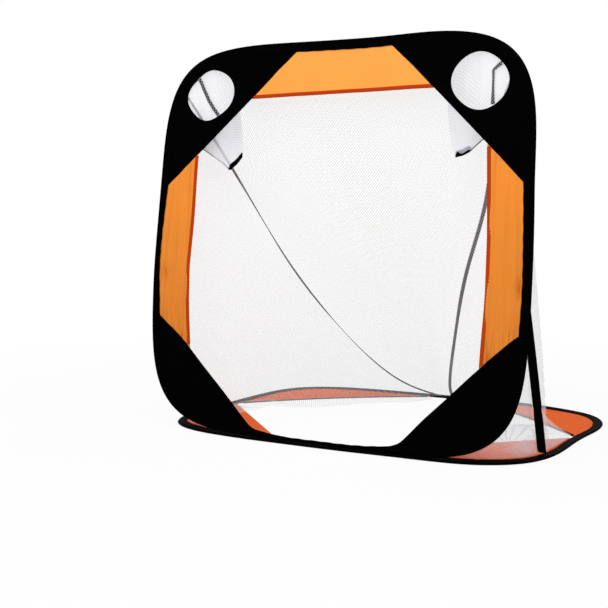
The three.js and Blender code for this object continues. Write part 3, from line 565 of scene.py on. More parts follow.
def edge_tape(name, line, inward, heights, width, to_frame, seed):
    """A folded tape along a line in a hoop's plane. inward points from the edge into the cloth"""
    section = tape_section(width)
    across = square_to(np.gradient(line, axis=0))
    across[(across @ np.asarray(inward)) < 0] *= -1
    along, around = run(line), run(section)
    count, faces = len(line) - 1, len(section)

    def lay(u, v):
        station = nearest(u, count)
        side = nearest(v, faces) % faces
        pucker = 1 + 0.09 * np.sin(along[station] * 2 * np.pi / stitch_step + seed)
        place = line[station] + across[station] * section[side, :1]
        height = heights[station] + section[side, 1] * pucker
        return to_frame(place[:, 0], place[:, 1], height), points(along[station], around[side])

    return close_seams(cloth(name, count, faces, lay), cap_ends=True)


def bowed_seam(count):
    """The bowed edge of the right rear panel between the sleeves, from the side to the rear"""
    line = bowed_edge(rear_line, rear_bow, np.linspace(0, 1, 4 * count))
    border = base_hoop["sleeve"] + binding_width
    room = np.minimum(base_hoop["width"] / 2 - border - line[:, 0],
                      base_hoop["height"] - wire_bead - border - line[:, 1])
    return even_line(line[room > 0], count)


seam_black = fabric("seam_tape_polyester", black_shade, roughness=0.8, specular=0.015)
for side, hand in sides:
    line = bowed_seam(seam_points) * (side, 1)
    levels = np.full(len(line), seam_level)
    seam = edge_tape(f"base_seam_cloth_{hand}", line, (side, 1), levels, binding_width, on_base, 1.0)
    dress(seam, seam_black, "base_frame", "black_fabric", f"base_seam_{hand}")

# Front base panels
# Two more orange triangles fill the front corners of the base, under the net. Their inner edges
# are turned under and run straight.
front_line = corner_line(across=0.511, along=0.524, far=False)
front_waves = [(0.7, -0.7, 0.13, 0.0012, 5.0)]
for side, hand in sides:
    front_panel = base_panel(f"base_front_cloth_{hand}", front_line, 0.0, side, level=-0.0016, sag=0.0010,
                             waves=front_waves)
    dress(front_panel, base_orange, "base_frame", "base_orange_fabric", f"base_panel_front_{hand}")

# Front wire
# The front hoop's wire is joined like the base's, in a ferrule on the goal line, and leans back with
# its sleeve.
front_hoop = {
    "width": 1.220, "height": 1.177, "power": 5.0, "sleeve": 0.025,
    "drift": [(-90, 0), (-75, 2), (-66, 2.8), (-60, 4), (-55, 8.5), (-50, 10.6), (-42, 9.4), (-38, 8),
              (-34, 5.2), (-29, 3.8), (-5, 3.6), (4, 2), (10, 0), (15, -4), (22, -2.6), (33, 1.2), (45, 5),
              (52, 2), (63, -0.3), (75, -6.2), (84, -5.2), (99, -1.7), (117, 5), (126, 6.6), (132, 9.4),
              (137, 4), (142, -1.6), (156, -2.6), (165, 0.3), (177, 6.8), (185, 10), (189, 12.6), (193, 11),
              (207, 8.4), (213, 6.7), (217, 4.6), (221, 2), (228, 0.6), (250, 0.4), (270, 0)],
    "slack": [(-90, -15), (-80, -15), (-73, -11), (-67, -1), (-45, 0), (-24, 5), (-13, 1), (0, 4), (15, 6),
              (30, 5), (150, 5), (163, 6), (170, 0), (182, -4.6), (189, -3.2), (195, 1), (202, 7), (215, 2),
              (247, -1), (253, -11), (260, -15), (270, -15)]}
fold_height = 0.013713
lean = math.radians(5.7)
front_turn = math.pi / 2 - lean


def front_place(x, y, height):
    """A place in the front hoop's plane: x across, y up it and height towards the viewer"""
    return points(x, y * math.cos(front_turn) - height * math.sin(front_turn),
                  fold_height + y * math.sin(front_turn) + height * math.cos(front_turn))


def on_front(x, y, height):
    return front_place(*drifted(front_hoop, x, y), height)


front_wire = wire("front_wire", front_hoop, on_front)
dress(front_wire, wire_material, "front_frame", "spring_steel", "front_hoop_wire")

# Front sleeve
# The front hoop has the same kind of sleeve, a little narrower. It stands on the base sleeve, where
# the two are sewn together, and leans back.
sleeve_black = fabric("front_sleeve_polyester", black_shade, roughness=0.75, specular=0.008)
front_sleeve = sleeve("front_sleeve_cloth", front_hoop, on_front, 0.0, 4.0)
dress(front_sleeve, sleeve_black, "front_frame", "black_fabric", "front_sleeve")

# Corner gussets
# Four black gussets brace the corners of the front hoop. The upper two have a target hole, whose
# edge is turned back and stitched and is never quite round.
gusset_wall = 0.0012
top_columns, top_rows = 240, 26
bottom_columns, bottom_rows = 110, 30
# The upper gussets' diagonals and the lower ones' free edges, across and up the front hoop's plane
top_cuts = {1: [(0.1748, 1.1440), (0.5790, 0.7459)], -1: [(0.1345, 1.1441), (0.5792, 0.7569)]}
bottom_edges = {1: [(0.100, 0.0045), (0.169, 0.0092), (0.230, 0.0180), (0.256, 0.0290), (0.304, 0.0784),
                    (0.380, 0.1509), (0.451, 0.2215), (0.523, 0.2905), (0.557, 0.3235), (0.578, 0.3389),
                    (0.600, 0.3530)],
                -1: [(0.080, 0.0045), (0.163, 0.0116), (0.222, 0.0200), (0.240, 0.0310), (0.270, 0.0598),
                     (0.339, 0.1267), (0.413, 0.1948), (0.485, 0.2646), (0.526, 0.2997), (0.575, 0.3411),
                     (0.600, 0.3600)]}
hole_radius = 0.0796
hole_places = {1: (0.4413, 1.0232), -1: (-0.4353, 1.0312)}
# Each hole's waves: how many go round it, and their height as a cosine and as a sine
hole_waves = {1: [(2, 0.0020, -0.0029), (4, 0.0014, 0.0)],
              -1: [(2, 0.0046, 0.0039), (4, 0.0022, 0.0), (5, -0.0010, 0.0)]}
gusset_black = fabric("gusset_polyester", black_shade, roughness=0.75, specular=0.007)


def hole_reach(angle, side):
    """The target hole's radius in a direction. The right hole and the left were cut a little differently"""
    return hole_radius + sum(c * np.cos(k * angle) + s * np.sin(k * angle) for k, c, s in hole_waves[side])


def gusset_relief(x, y, seed):
    """Soft folds that run along the diagonal, where the gusset is pulled between the hoop's sides"""
    along, across = (x - y) * 0.707, (x + y) * 0.707
    wide = 0.0010 * ripple(across + 0.15 * along, 0.23, seed)
    return wide + 0.0006 * ripple(across - 0.3 * along, 0.11, seed + 2)


def ray_reach(outline, middle, angle):
    """How far a closed outline lies from a point inside it, in each direction"""
    rel = outline - middle
    bearing = np.mod(np.arctan2(rel[:, 1], rel[:, 0]), 2 * np.pi)
    order = np.argsort(bearing)
    return np.interp(np.mod(angle, 2 * np.pi), bearing[order], np.hypot(rel[:, 0], rel[:, 1])[order],
                     period=2 * np.pi)


def top_gusset(side, hand):
    arc = held_arc(front_hoop, top_cuts[side], 400)
    share = np.linspace(0, 1, 300)[1:-1, None]
    outline = np.concatenate([arc, arc[-1] + share * (arc[0] - arc[-1])]) * (side, 1)
    middle = np.array(hole_places[side])
    # A column of the mesh runs to each of the gusset's two corners
    corners = arc[[0, -1]] * (side, 1) - middle
    bearings = np.sort(np.mod(np.arctan2(corners[:, 1], corners[:, 0]), 2 * np.pi))
    marks = np.rint(bearings / (2 * np.pi) * top_columns)

    def lay(u, v):
        angle = np.interp(u * top_columns, [0, *marks, top_columns], [0, *bearings, 2 * np.pi])
        start = hole_reach(angle, side)
        reach = start + (ray_reach(outline, middle, angle) - start) * v ** 1.15
        x = middle[0] + reach * np.cos(angle)
        y = middle[1] + reach * np.sin(angle)
        # The stitching keeps the cloth flat round the hole, which doesn't follow the hoop's drift
        height = gusset_relief(x * side, y, 1.0 + side) * ramp(reach - start, 0, 0.05)
        sewn = np.clip(v * 1.5, 0, 1)[:, None]
        return front_place(x, y, height) * (1 - sewn) + on_front(x, y, height) * sewn, points(x, y)

    piece = close_seams(cloth(f"top_gusset_cloth_{hand}", top_columns, top_rows, lay))
    thicken(piece, gusset_wall)
    dress(piece, gusset_black, "front_frame", "black_fabric", f"corner_gusset_top_{hand}")


def bottom_edge(x, side):
    """The lower gusset's free edge, which flares into the sleeve at its lower end"""
    return soft_line(bottom_edges[side], x)


def bottom_gusset(side, hand):
    first_x, last_x = bottom_edges[side][0][0], bottom_edges[side][-1][0]
    edge_x = np.linspace(first_x, last_x - 0.003, 300)
    edge = points(edge_x, bottom_edge(edge_x, side))
    fine = np.radians(np.linspace(-85, -10, 1500))
    # Towards the goal line the gusset's outer edge lies less deep in the narrowing sleeve
    across = np.cos(fine) / np.abs(np.sin(fine)) * 0.58
    tuck = front_hoop["sleeve"] - panel_tuck - 0.008 * ramp(across, 0.26, 0.16)
    outer = hoop_line(front_hoop, fine, tuck)
    outer = outer[(outer[:, 0] > edge[0, 0]) & (outer[:, 1] < edge[-1, 1])]

    def lay(u, v):
        inner = along_line(edge, u)
        place = inner + v[:, None] * (along_line(outer, u) - inner)
        x, y = place.T
        return on_front(side * x, y, gusset_relief(x, y, 6.0 + side) * np.sin(np.pi * v)), place

    piece = close_seams(cloth(f"bottom_gusset_cloth_{hand}", bottom_columns, bottom_rows, lay), 0.0)
    thicken(piece, gusset_wall)
    dress(piece, gusset_black, "front_frame", "black_fabric", f"corner_gusset_bottom_{hand}")


for side, hand in sides:
    top_gusset(side, hand)
    bottom_gusset(side, hand)


def diagonal_y(x, side):
    """The height of the upper gusset's diagonal at a distance from the goal's middle"""
    (x0, y0), (x1, y1) = top_cuts[side]
    return y0 + (y1 - y0) * (x - x0) / (x1 - x0)


def sewn_behind(x, y, height):
    """A place in the front hoop's plane. What runs on past a gusset's edge goes behind it, but not where
    both lie between the sleeve's flaps"""
    inset = hoop_bearing(front_hoop, x, y)[1]
    outside = ramp(inset, front_hoop["sleeve"], front_hoop["sleeve"] + 0.003)
    reach = np.abs(x)
    over = np.full_like(x, -1.0)
    # The gussets' edges run at a slant, so what is square to them is a share of a height
    slant = 0.72
    for side in (1, -1):
        above = (y - diagonal_y(reach, side)) * slant
        below = np.where(reach > 0.15, (bottom_edge(reach, side) - y) * slant, -1.0)
        over = np.where(x * side > 0, np.maximum(above, below), over)
    behind = ramp(over, -0.0006, 0.0006) * outside
    return on_front(x, y, height * (1 - 0.7 * behind) - 0.0034 * behind)

# Top panel
# Orange nylon fills the top of the front hoop between the gussets. It hangs free along its lower
# edge, so it has slight folds.
top_depth = 0.160
top_panel_columns, top_panel_rows = 120, 36
light_orange = fabric("edge_nylon_top", (0.955, 0.352, 0.060), roughness=0.6, specular=0.12)
top_edge_level = front_hoop["height"] - wire_bead - top_depth
crown_level = front_hoop["height"] - wire_bead - front_hoop["sleeve"] + panel_tuck
hoop_middle = front_hoop["height"] / 2 - wire_bead


def diagonal_x(level, side):
    """Where the upper gusset's diagonal passes a height in the front hoop's plane"""
    (x0, y0), (x1, y1) = top_cuts[side]
    return x0 + (x1 - x0) * (level - y0) / (y1 - y0)


def crown_turn(side):
    return math.atan2(diagonal_x(crown_level, side) + 0.005, crown_level - hoop_middle)


def top_fold(x, y):
    down = (front_hoop["height"] - y) / top_depth
    slack = np.clip(down, 0, 1) ** 0.8 * ramp(np.abs(x), 0.30, 0.20)
    folds = 0.0022 * ripple(x + 0.35 * y, 0.20, 3.0) + 0.0008 * ripple(x - 0.2 * y, 0.07, 7.0)
    return slack * folds - 0.0002


def lay_top(u, v):
    left, right = -diagonal_x(top_edge_level, -1) - 0.005, diagonal_x(top_edge_level, 1) + 0.005
    lower = points(left + u * (right - left), np.full_like(u, top_edge_level + 0.0002))
    turn = np.pi / 2 + crown_turn(-1) - u * (crown_turn(1) + crown_turn(-1))
    crown = hoop_line(front_hoop, turn, front_hoop["sleeve"] - panel_tuck)
    place = lower + v[:, None] * (crown - lower)
    x, y = place.T
    return sewn_behind(x, y, top_fold(x, y)), place


top_panel = thicken(cloth("top_panel_cloth", top_panel_columns, top_panel_rows, lay_top), panel_wall)
dress(top_panel, light_orange, "front_frame", "orange_fabric", "top_panel")

# Side panels
# Narrower orange panels run down both sides, with long soft folds where the cloth is slack between
# the gussets. Fine creases gather towards their lower ends.
side_depth = 0.124
side_inner = front_hoop["width"] / 2 - side_depth
side_outer = front_hoop["width"] / 2 - front_hoop["sleeve"] + panel_tuck
side_tuck = 0.006
side_panel_columns, side_panel_rows = 88, 240
# Each panel's free edge: heights, and distances from the goal's middle
side_edges = {1: [(0.230, 0.4790), (0.325, 0.4815), (0.450, 0.4850), (0.600, 0.4835), (0.730, 0.4780),
                  (0.860, 0.4715)],
              -1: [(0.230, 0.4660), (0.300, 0.4730), (0.400, 0.4820), (0.500, 0.4850), (0.645, 0.4780),
                   (0.860, 0.4700)]}
# The dent in each panel, where the sleeve is pinched: its place and its depth
side_dents = {1: (0.580, 0.462, 0.012), -1: (0.582, 0.470, 0.015)}
dent_limit = 0.587
# The side nylon has painted shade: faint streaks over all of it, fine dark crease lines low down, and a
# darker lower part
side_orange = fabric("edge_nylon_side", (0.845, 0.256, 0.028), roughness=0.6, specular=0.12, mottle=0.06,
                     painted_shades=[((0.014, 0.45), 0.11, 0.0, 9.0), ((0.0055, 0.10), 0.50, 0.29, 0.41),
                             (None, 0.17, 0.30, 0.72)])


def side_fold(x, y, seed):
    """Long folds down the panel, deeper at its free edge and dying out at the gussets"""
    free = ramp(x, front_hoop["width"] / 2, side_inner)
    ends = ramp(y, 0.16, 0.36) * ramp(y, 0.86, 0.66)
    drift = 0.05 * np.sin(2.6 * y + seed)
    folds = 0.0030 * ripple(x + drift, 0.062, seed)
    folds = folds + 0.0012 * ripple(x - 0.5 * drift + 0.08 * y, 0.027, seed + 4)
    return free ** 0.7 * ends * folds + free * 0.0016 * ripple(y, 0.34, seed + 1)


def side_gathers(x, y, low, high, side):
    """Fine gathers fan out from the lower seam and the upper one, with faint streaks and the dent"""
    above = ramp(y - low, 0, 0.13)
    fan = ripple(x + 0.25 * (y - low) * (x - 0.54) / 0.05, 0.021, 2.0 + side)
    lower = 0.0009 * fan * np.exp(-3.2 * above) * np.clip(above * 14, 0, 1)
    below = ramp(high - y, 0, 0.10)
    upper = 0.0005 * ripple(x - 0.2 * (high - y), 0.030, 5.0 + side) * np.exp(-3.5 * below)
    streaks = 0.00035 * ripple(x + 0.03 * np.sin(3 * y + side), 0.017, 9.0 + side)
    dent_x, dent_y, depth = side_dents[side]
    spread = np.hypot((x - dent_x) / 0.020, (y - dent_y) / 0.026)
    dent = depth * np.exp(-spread ** 2) * ramp(x, dent_limit, dent_limit - 0.012)
    return lower + upper + streaks - dent


def side_edge(y, side):
    """The panel's free edge is drawn in a little towards its two ends"""
    return soft_line(side_edges[side], y)


def lay_side(u, v, side):
    x = side_outer + (u - 1) * side_depth
    low, high = bottom_edge(x, side) - side_tuck, diagonal_y(x, side) + side_tuck
    y = low + v * (high - low)
    x = side_edge(y, side)
    x = x + u * (side_outer - x)
    gathers = side_gathers(x, y, bottom_edge(x, side), diagonal_y(x, side), side)
    return sewn_behind(side * x, y, side_fold(x, y, 2.0 + side) + gathers), points(x, y)


for side, hand in sides:
    side_panel = cloth(f"side_panel_cloth_{hand}", side_panel_columns, side_panel_rows,
                       lambda u, v: lay_side(u, v, side))
    thicken(side_panel, panel_wall)
    dress(side_panel, side_orange, "front_frame", "orange_fabric", f"side_panel_{hand}")

# Panel bindings
# A narrow red-orange tape is folded over the free edge of each orange panel and stitched through.
# Its ends run on behind the gussets.
edge_binding = 0.0098
binding_tuck = 0.006
top_points, side_points = 181, 401
red_tape = fabric("binding_tape", (0.47, 0.042, 0.001), roughness=0.7, specular=0.05, thread=0.0014,
                  relief=0.2, mottle=0.08)
left, right = -diagonal_x(top_edge_level, -1) - binding_tuck, diagonal_x(top_edge_level, 1) + binding_tuck
line = points(np.linspace(left, right, top_points), np.full(top_points, top_edge_level))
top_binding = edge_tape("top_binding_cloth", line, (0, 1), top_fold(*line.T), edge_binding, sewn_behind, 2.0)
dress(top_binding, red_tape, "front_frame", "red_orange_tape", "top_panel_binding")
for side, hand in sides:
    low, high = bottom_edge(side_inner, side) - binding_tuck, diagonal_y(side_inner, side) + binding_tuck
    levels = np.linspace(low, high, side_points)
    line = points(side_edge(levels, side), levels)
    heights = side_fold(*line.T, 2.0 + side)
    side_binding = edge_tape(f"side_binding_cloth_{hand}", line * (side, 1), (side, 0), heights,
                             edge_binding, sewn_behind, 3.0)
    dress(side_binding, red_tape, "front_frame", "red_orange_tape", f"side_binding_{hand}")

# Target pockets
# A bag of white mesh is sewn behind each target hole, with a black facing round its mouth and a black
# tape in its lower end. A second tape runs down its back. Two layers of mesh show as soft lavender grey.
mesh_cell = 0.0092
mesh_dye = 0.96
tape_columns = 4


def bias_cells(tree):
    """The mesh's cells, which lie on the bias of the cut: 0 on their threads and 1 in their middles"""
    flat = cloth_map(tree)[1]
    waves = []
    for kind in ("ADD", "SUBTRACT"):
        turns = compute(tree, "MULTIPLY", compute(tree, kind, flat["X"], flat["Y"]), math.pi / mesh_cell)
        waves.append(compute(tree, "ABSOLUTE", compute(tree, "SINE", turns)))
    return compute(tree, "MULTIPLY", *waves)


def sunk(tree, depth, strength, distance):
    """A relief that is deepest in the middles of the cells"""
    return add(tree, "ShaderNodeBump", {"Height": depth, "Strength": strength, "Distance": distance},
               invert=True).outputs[0]


def netting(name, colour, openness, cover, contrast):
    """Knitted mesh: soft threads cross on the bias and leave small open cells. cover is the share of
    the background that it hides, and contrast how far threads and cells differ"""
    phase = np.linspace(0, math.pi, 181)[:-1]
    pattern = (1 - np.outer(np.sin(phase), np.sin(phase)) ** 2) ** openness
    made, tree = new_material(name)
    depth = bias_cells(tree)
    rest = compute(tree, "SUBTRACT", 1.0, compute(tree, "POWER", depth, 2.0), use_clamp=True)
    threads = compute(tree, "POWER", rest, openness)
    opening = compute(tree, "MULTIPLY_ADD", threads, contrast, cover - contrast * float(pattern.mean()),
                      use_clamp=True)
    dye = noise(tree, own_place(tree), 5.0, 3.0)
    low = tuple(c * mesh_dye for c in colour) + (1,)
    finish_material(tree, {"Base Color": mix(tree, dye, low, (*colour, 1)), "Roughness": 0.85,
                           "Alpha": opening, "Normal": sunk(tree, depth, 0.25, 0.0007),
                           "Specular IOR Level": 0.2, "Sheen Weight": 0.15})
    return made


def tape_under_mesh(name, thread_tone, tape_tone):
    """A dark woven tape with white mesh over it, so that it looks dotted grey"""
    made, tree = new_material(name)
    depth = bias_cells(tree)
    cover = carry(tree, depth, 0.0, 1.0, from_low=0.25, from_high=0.45)
    finish_material(tree, {"Base Color": mix(tree, cover, thread_tone, tape_tone), "Roughness": 0.85,
                           "Normal": sunk(tree, depth, 0.3, 0.0005), "Specular IOR Level": 0.1})
    return made


hem_half_width, hem_middle, hem_height = 0.064, 0.419, 0.016
# The hem's line, across and up the front hoop's plane
hem_lines = {1: [(0.355, 0.828), (0.380, 0.832), (0.400, 0.840), (0.438, 0.868), (0.483, 0.884)],
             -1: [(0.355, 0.846), (0.372, 0.824), (0.392, 0.806), (0.412, 0.826), (0.483, 0.872)]}
# How far each bag bulges towards the goal's middle, and how far round it the hem tape is bare
bag_swell = {1: 0.012, -1: -0.005}
bare_hem = {1: -0.30, -1: -0.45}
# The tape's course on the bag: turn round it and share of the way down
tape_courses = {1: [(0.892, 0.048), (0.666, 0.179), (0.529, 0.252), (0.604, 0.424), (0.761, 0.638)],
                -1: [(-0.716, 0.010), (-0.566, 0.254), (-0.404, 0.401), (-0.229, 0.486), (-0.040, 0.544)]}
tape_slimming = {1: 0.45, -1: 0.0}
pocket_tape_width, pocket_tape_rows, pocket_tape_wall = 0.011, 40, 0.0010
pocket_columns, pocket_rows = 120, 64
front_anchor = tuple(on_front(np.zeros(1), np.full(1, 0.9), np.full(1, -0.0035))[0])
pocket_mesh = netting("pocket_mesh", (0.94, 0.94, 1.0), openness=3.5, cover=0.41, contrast=0.10)
hem_black = fabric("hem_tape", black_shade, roughness=0.8, specular=0.015)
back_tape = tape_under_mesh("pocket_tape_under_mesh", (0.24, 0.24, 0.25, 1), (0.014, 0.014, 0.015, 1))
hem_outline = np.array([(0.0016, hem_height), (0.0016, 0.0012), (0.0006, -0.0002), (-0.0006, -0.0002),
                        (-0.0016, 0.0012), (-0.0016, hem_height), (-0.0006, hem_height), (-0.0006, 0.002),
                        (0.0006, 0.002), (0.0006, hem_height)])
facing_outline = np.array([(0.0, -0.0009), (0.012, -0.0009), (0.012, -0.0023), (0.006, -0.0026),
                           (0.0, -0.0023)])


def pocket_point(side, turn, share):
    """A point of the bag: turn goes round it from its back, share from the target hole to the hem"""
    across, rear = np.sin(turn), np.cos(turn)
    outer = side * across
    middle = hole_places[side]
    rim_reach = hole_reach(np.arctan2(rear, across), side) + 0.0016
    rim = (middle[0] + rim_reach * across, middle[1] + rim_reach * rear, np.full_like(across, -0.0026))
    tail_reach = hem_middle + hem_half_width * outer
    tail = (side * tail_reach, soft_line(hem_lines[side], tail_reach),
            -0.050 - 0.0030 * rear + 0.019 * outer)
    swell = bag_swell[side]
    shoulder = (rim[0] - side * swell * (1 - outer), rim[1] - 0.030, -0.026 - 0.010 * rear + 0.018 * outer)
    fall = (tail[0] - side * swell * (0.67 - outer), tail[1] + 0.055 + 0.025 * rear,
            -0.051 - 0.011 * rear + 0.023 * outer)
    left = 1 - share
    weights = (left ** 3, 3 * share * left ** 2, 3 * share ** 2 * left, share ** 3)
    x, y, z = (sum(weight * part for weight, part in zip(weights, parts))
               for parts in zip(rim, shoulder, fall, tail))
    # Folds run from the mouth to the hem and gather at it
    slack = np.sin(np.pi * np.clip(share, 0, 1)) ** 0.8
    folds = 0.0036 * np.sin(5 * turn + 1.7 + side) + 0.0024 * np.sin(9 * turn + 2.1 * side + 3 * share)
    x = x + across * folds * slack
    y = y + 0.0015 * np.sin(7 * turn + 4 * share) * slack
    return x, y, z - (rear + 0.3) * folds * slack * 0.8


def add_pocket_piece(piece, material, slot, *nodes):
    """The bag and its tapes lie behind the front hoop. A piece of them gets its material, is hung on the
    front hoop and is given a mesh of its own
    """
    dress(piece, material, "front_frame", slot, *nodes)
    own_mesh(piece)


for side, hand in sides:
    def lay_pocket(u, v):
        return front_place(*pocket_point(side, 2 * np.pi * u, v)), points(u * 0.46, v * 0.23)

    pocket = close_seams(cloth(f"pocket_mesh_{hand}", pocket_columns, pocket_rows, lay_pocket))
    add_pocket_piece(pocket, pocket_mesh, "white_mesh", f"pocket_net_{hand}")

    def lay_hem(u, v):
        turn = 2 * np.pi * u
        outward, upward = hem_outline[nearest(v, len(hem_outline)) % len(hem_outline)].T
        # Past the bag's inner third the tape is rolled up small, and the mesh runs down over it
        covered = ramp(side * np.sin(turn), bare_hem[side], bare_hem[side] + 0.10)
        outward, upward = outward - 0.0019 * covered, upward * (1 - 0.86 * covered)
        x, y, z = pocket_point(side, turn, np.ones_like(turn))
        return (front_place(x + outward * np.sin(turn), y + upward, z - outward * np.cos(turn)),
                points(u * 0.28, v * 0.034))

    hem = close_seams(cloth(f"pocket_hem_cloth_{hand}", pocket_columns, len(hem_outline), lay_hem))
    add_pocket_piece(hem, hem_black, "black_fabric", f"pocket_hem_{hand}")

    def lay_facing(u, v):
        turn = 2 * np.pi * u
        reach, height = facing_outline[nearest(v, len(facing_outline)) % len(facing_outline)].T
        reach = reach + hole_reach(turn, side) + 0.0004
        middle = hole_places[side]
        return (front_place(middle[0] + reach * np.cos(turn), middle[1] + reach * np.sin(turn), height),
                points(u * 0.52, v * 0.03))

    facing = cloth(f"pocket_facing_cloth_{hand}", pocket_columns, len(facing_outline), lay_facing)
    close_seams(facing)
    dress(facing, hem_black, "front_frame", "black_fabric", f"pocket_facing_{hand}")

    order = np.arange(len(tape_courses[side]))
    step = np.linspace(0, order[-1], 161)
    turns, shares = (soft_line(points(order, part), step) for part in np.transpose(tape_courses[side]))
    course = even_line(points(*pocket_point(side, turns, shares)), pocket_tape_rows + 1)

    def lay_back_tape(u, v):
        k = nearest(v, pocket_tape_rows)
        width = pocket_tape_width * (1 - tape_slimming[side] * np.sin(np.pi * v))
        x, y = (course[k, :2] + square_to(np.gradient(course, axis=0)[k]) * ((u - 0.5) * width)[:, None]).T
        return front_place(x, y, course[k, 2] + 0.004), points(u * pocket_tape_width, v * 0.12)

    pocket_tape = cloth(f"pocket_tape_cloth_{hand}", tape_columns, pocket_tape_rows, lay_back_tape)
    thicken(pocket_tape, pocket_tape_wall)
    add_pocket_piece(pocket_tape, back_tape, "grey_tape")

# Net
# Three panels of fine white mesh close the goal: the back, from the top of the front hoop down to
# the middle of the rear, and two sides. They are sewn to both hoops and pulled taut by the front one.
net_inset = 0.020
net_foot_inset = 0.034
# The net is sewn to the back of the front hoop's plane, and to the base at two heights
net_sewn = -0.0034
side_foot_height, seam_foot_height = 0.0026, 0.0062
seam_start_degrees, foot_degrees = 40.5, -56
net_rows, side_columns, back_columns = 96, 72, 80
net_sweeps = 2500
foot_points = 40
net_seam = np.array([0.005, 0, 0])
# The side net's fold starts at a height on the front hoop and ends at a distance back along the base
fold_top, fold_foot = 0.760, 0.275
crumple_depth, slack_depth = 0.0125, 0.0012
net_floor, sink_share = 0.008, 0.74
white_net = netting("net_mesh", (0.90, 0.90, 0.93), openness=8.0, cover=0.28, contrast=0.16)


def seam_course(count):
    """The line of the right seam tape: it hangs in a curve from the front hoop to the rear"""
    x, y, _, _ = hoop_place(front_hoop, np.radians([seam_start_degrees]), net_inset)
    start = front_place(x, y, np.array([-0.0042]))[0]
    end = np.array([0.025, 0.9776, 0.0082])
    shares = np.array([(0, 0, 0), (0.071, 0.023, 0.062), (0.289, 0.205, 0.343), (0.441, 0.295, 0.512),
                       (0.638, 0.479, 0.722), (0.876, 0.780, 0.931), (1, 1, 1)])
    knots = start + shares * (end - start)
    at = run(knots)
    gap = np.diff(at)
    slope = np.diff(knots, axis=0) / gap[:, None]
    # A natural cubic through the knots: its bend is 0 at both ends and has no jump at a knot
    system = np.eye(len(at))
    load = np.zeros((len(at), 3))
    for k in range(1, len(at) - 1):
        system[k, k - 1:k + 2] = gap[k - 1], 2 * (gap[k - 1] + gap[k]), gap[k]
        load[k] = 6 * (slope[k] - slope[k - 1])
    bend = np.linalg.solve(system, load)
    fine = np.linspace(0, at[-1], 4000)
    k = np.clip(np.searchsorted(at, fine, side="right") - 1, 0, len(at) - 2)
    before, after, span = (fine - at[k])[:, None], (at[k + 1] - fine)[:, None], gap[k][:, None]
    line = (bend[k] * after ** 3 + bend[k + 1] * before ** 3) / (6 * span)
    line += (knots[k] / span - bend[k] * span / 6) * after
    line += (knots[k + 1] / span - bend[k + 1] * span / 6) * before
    return even_line(line, count)


def between(first, last, columns):
    """A grid of knots from one seam to another"""
    share = np.linspace(0, 1, columns + 1)[None, :, None]
    return first[:, None, :] * (1 - share) + last[:, None, :] * share


def relax(grid, held=None):
    """Lets a net settle, every knot midway between its neighbours, with its borders and a fold held"""
    kept = None if held is None else grid[held].copy()
    for _ in range(net_sweeps):
        grid[1:-1, 1:-1] = (grid[:-2, 1:-1] + grid[2:, 1:-1] + grid[1:-1, :-2] + grid[1:-1, 2:]) / 4
        if held is not None:
            grid[held] = kept
    return grid


def hold_fold(grid):
    """The front hoop pulls the side net into a straight fold, from its side down to the base's corner"""
    first = int(np.argmin(np.abs(grid[:, 0, 2] - fold_top)))
    last = int(np.argmin(np.abs(grid[-1, :side_columns // 2, 1] - fold_foot)))
    held = np.zeros(grid.shape[:2], bool)
    for row in range(first + 1, net_rows):
        share = (row - first) / (net_rows - first)
        column = round(share * last)
        if column > 0:
            held[row, column] = True
            grid[row, column] = grid[first, 0] * (1 - share) + grid[-1, last] * share
    return held


def front_edge(first_degrees, last_degrees, count, side=1):
    """The net's edge on the front hoop. The left side's is turned over to the right, as its grid is"""
    angles = np.radians(np.linspace(first_degrees, last_degrees, count))
    x, y, _, _ = hoop_place(front_hoop, angles, net_inset)
    return on_front(side * x, y, np.full(count, net_sewn)) * (side, 1, 1)


def side_foot(start, side):
    """The foot of the right side net: off the front hoop, along the base's side and the bowed seam"""
    angles = np.radians(np.linspace(foot_degrees, -1, foot_points))
    x, y, _, _ = hoop_place(base_hoop, angles, net_foot_inset)
    along_side = on_base(side * x, y, np.full(foot_points, side_foot_height)) * (side, 1, 1)
    along_seam = points(*bowed_seam(foot_points).T, np.full(foot_points, seam_foot_height))
    return np.concatenate([[start], along_side, along_seam, [seam_course(2)[-1] + (0.008, 0, 0)]])


def crumple(grid, side):
    """Loose folds where the side net meets the base's corner, and faint ones over the rest of it"""
    rows, columns = np.indices(grid.shape[:2])
    down, out = rows / net_rows, columns / side_columns
    border = (ramp(rows, 0, 4) * ramp(rows, net_rows, net_rows - 3)
              * ramp(columns, 0, 4) * ramp(columns, side_columns, side_columns - 4))
    corner = ramp(down, 0.80, 1.0) * ramp(out, 0.42, 0)
    folds = ripple(down * 0.9 + out * 0.5, 0.075, 3.0 + side)
    folds = folds + 0.7 * ripple(down * 0.3 - out, 0.06, 6.0 + side)
    soft = ripple(down + 0.6 * out, 0.42, 1.0 + side) * np.sin(np.pi * out)
    shift = border * (crumple_depth * corner * folds + slack_depth * soft)
    # Behind the fold the slack net sinks towards the base's side
    sinking = border * eased(ramp(down, 0.66, 0.86) * ramp(np.abs(out - 0.37), 0.17, 0))
    grid[..., 2] = net_floor + (grid[..., 2] - net_floor) * (1 - sink_share * sinking)
    grid[..., 0] -= np.abs(shift) * 0.5 + shift * 0.5
    grid[..., 1] += shift * 0.5
    return grid


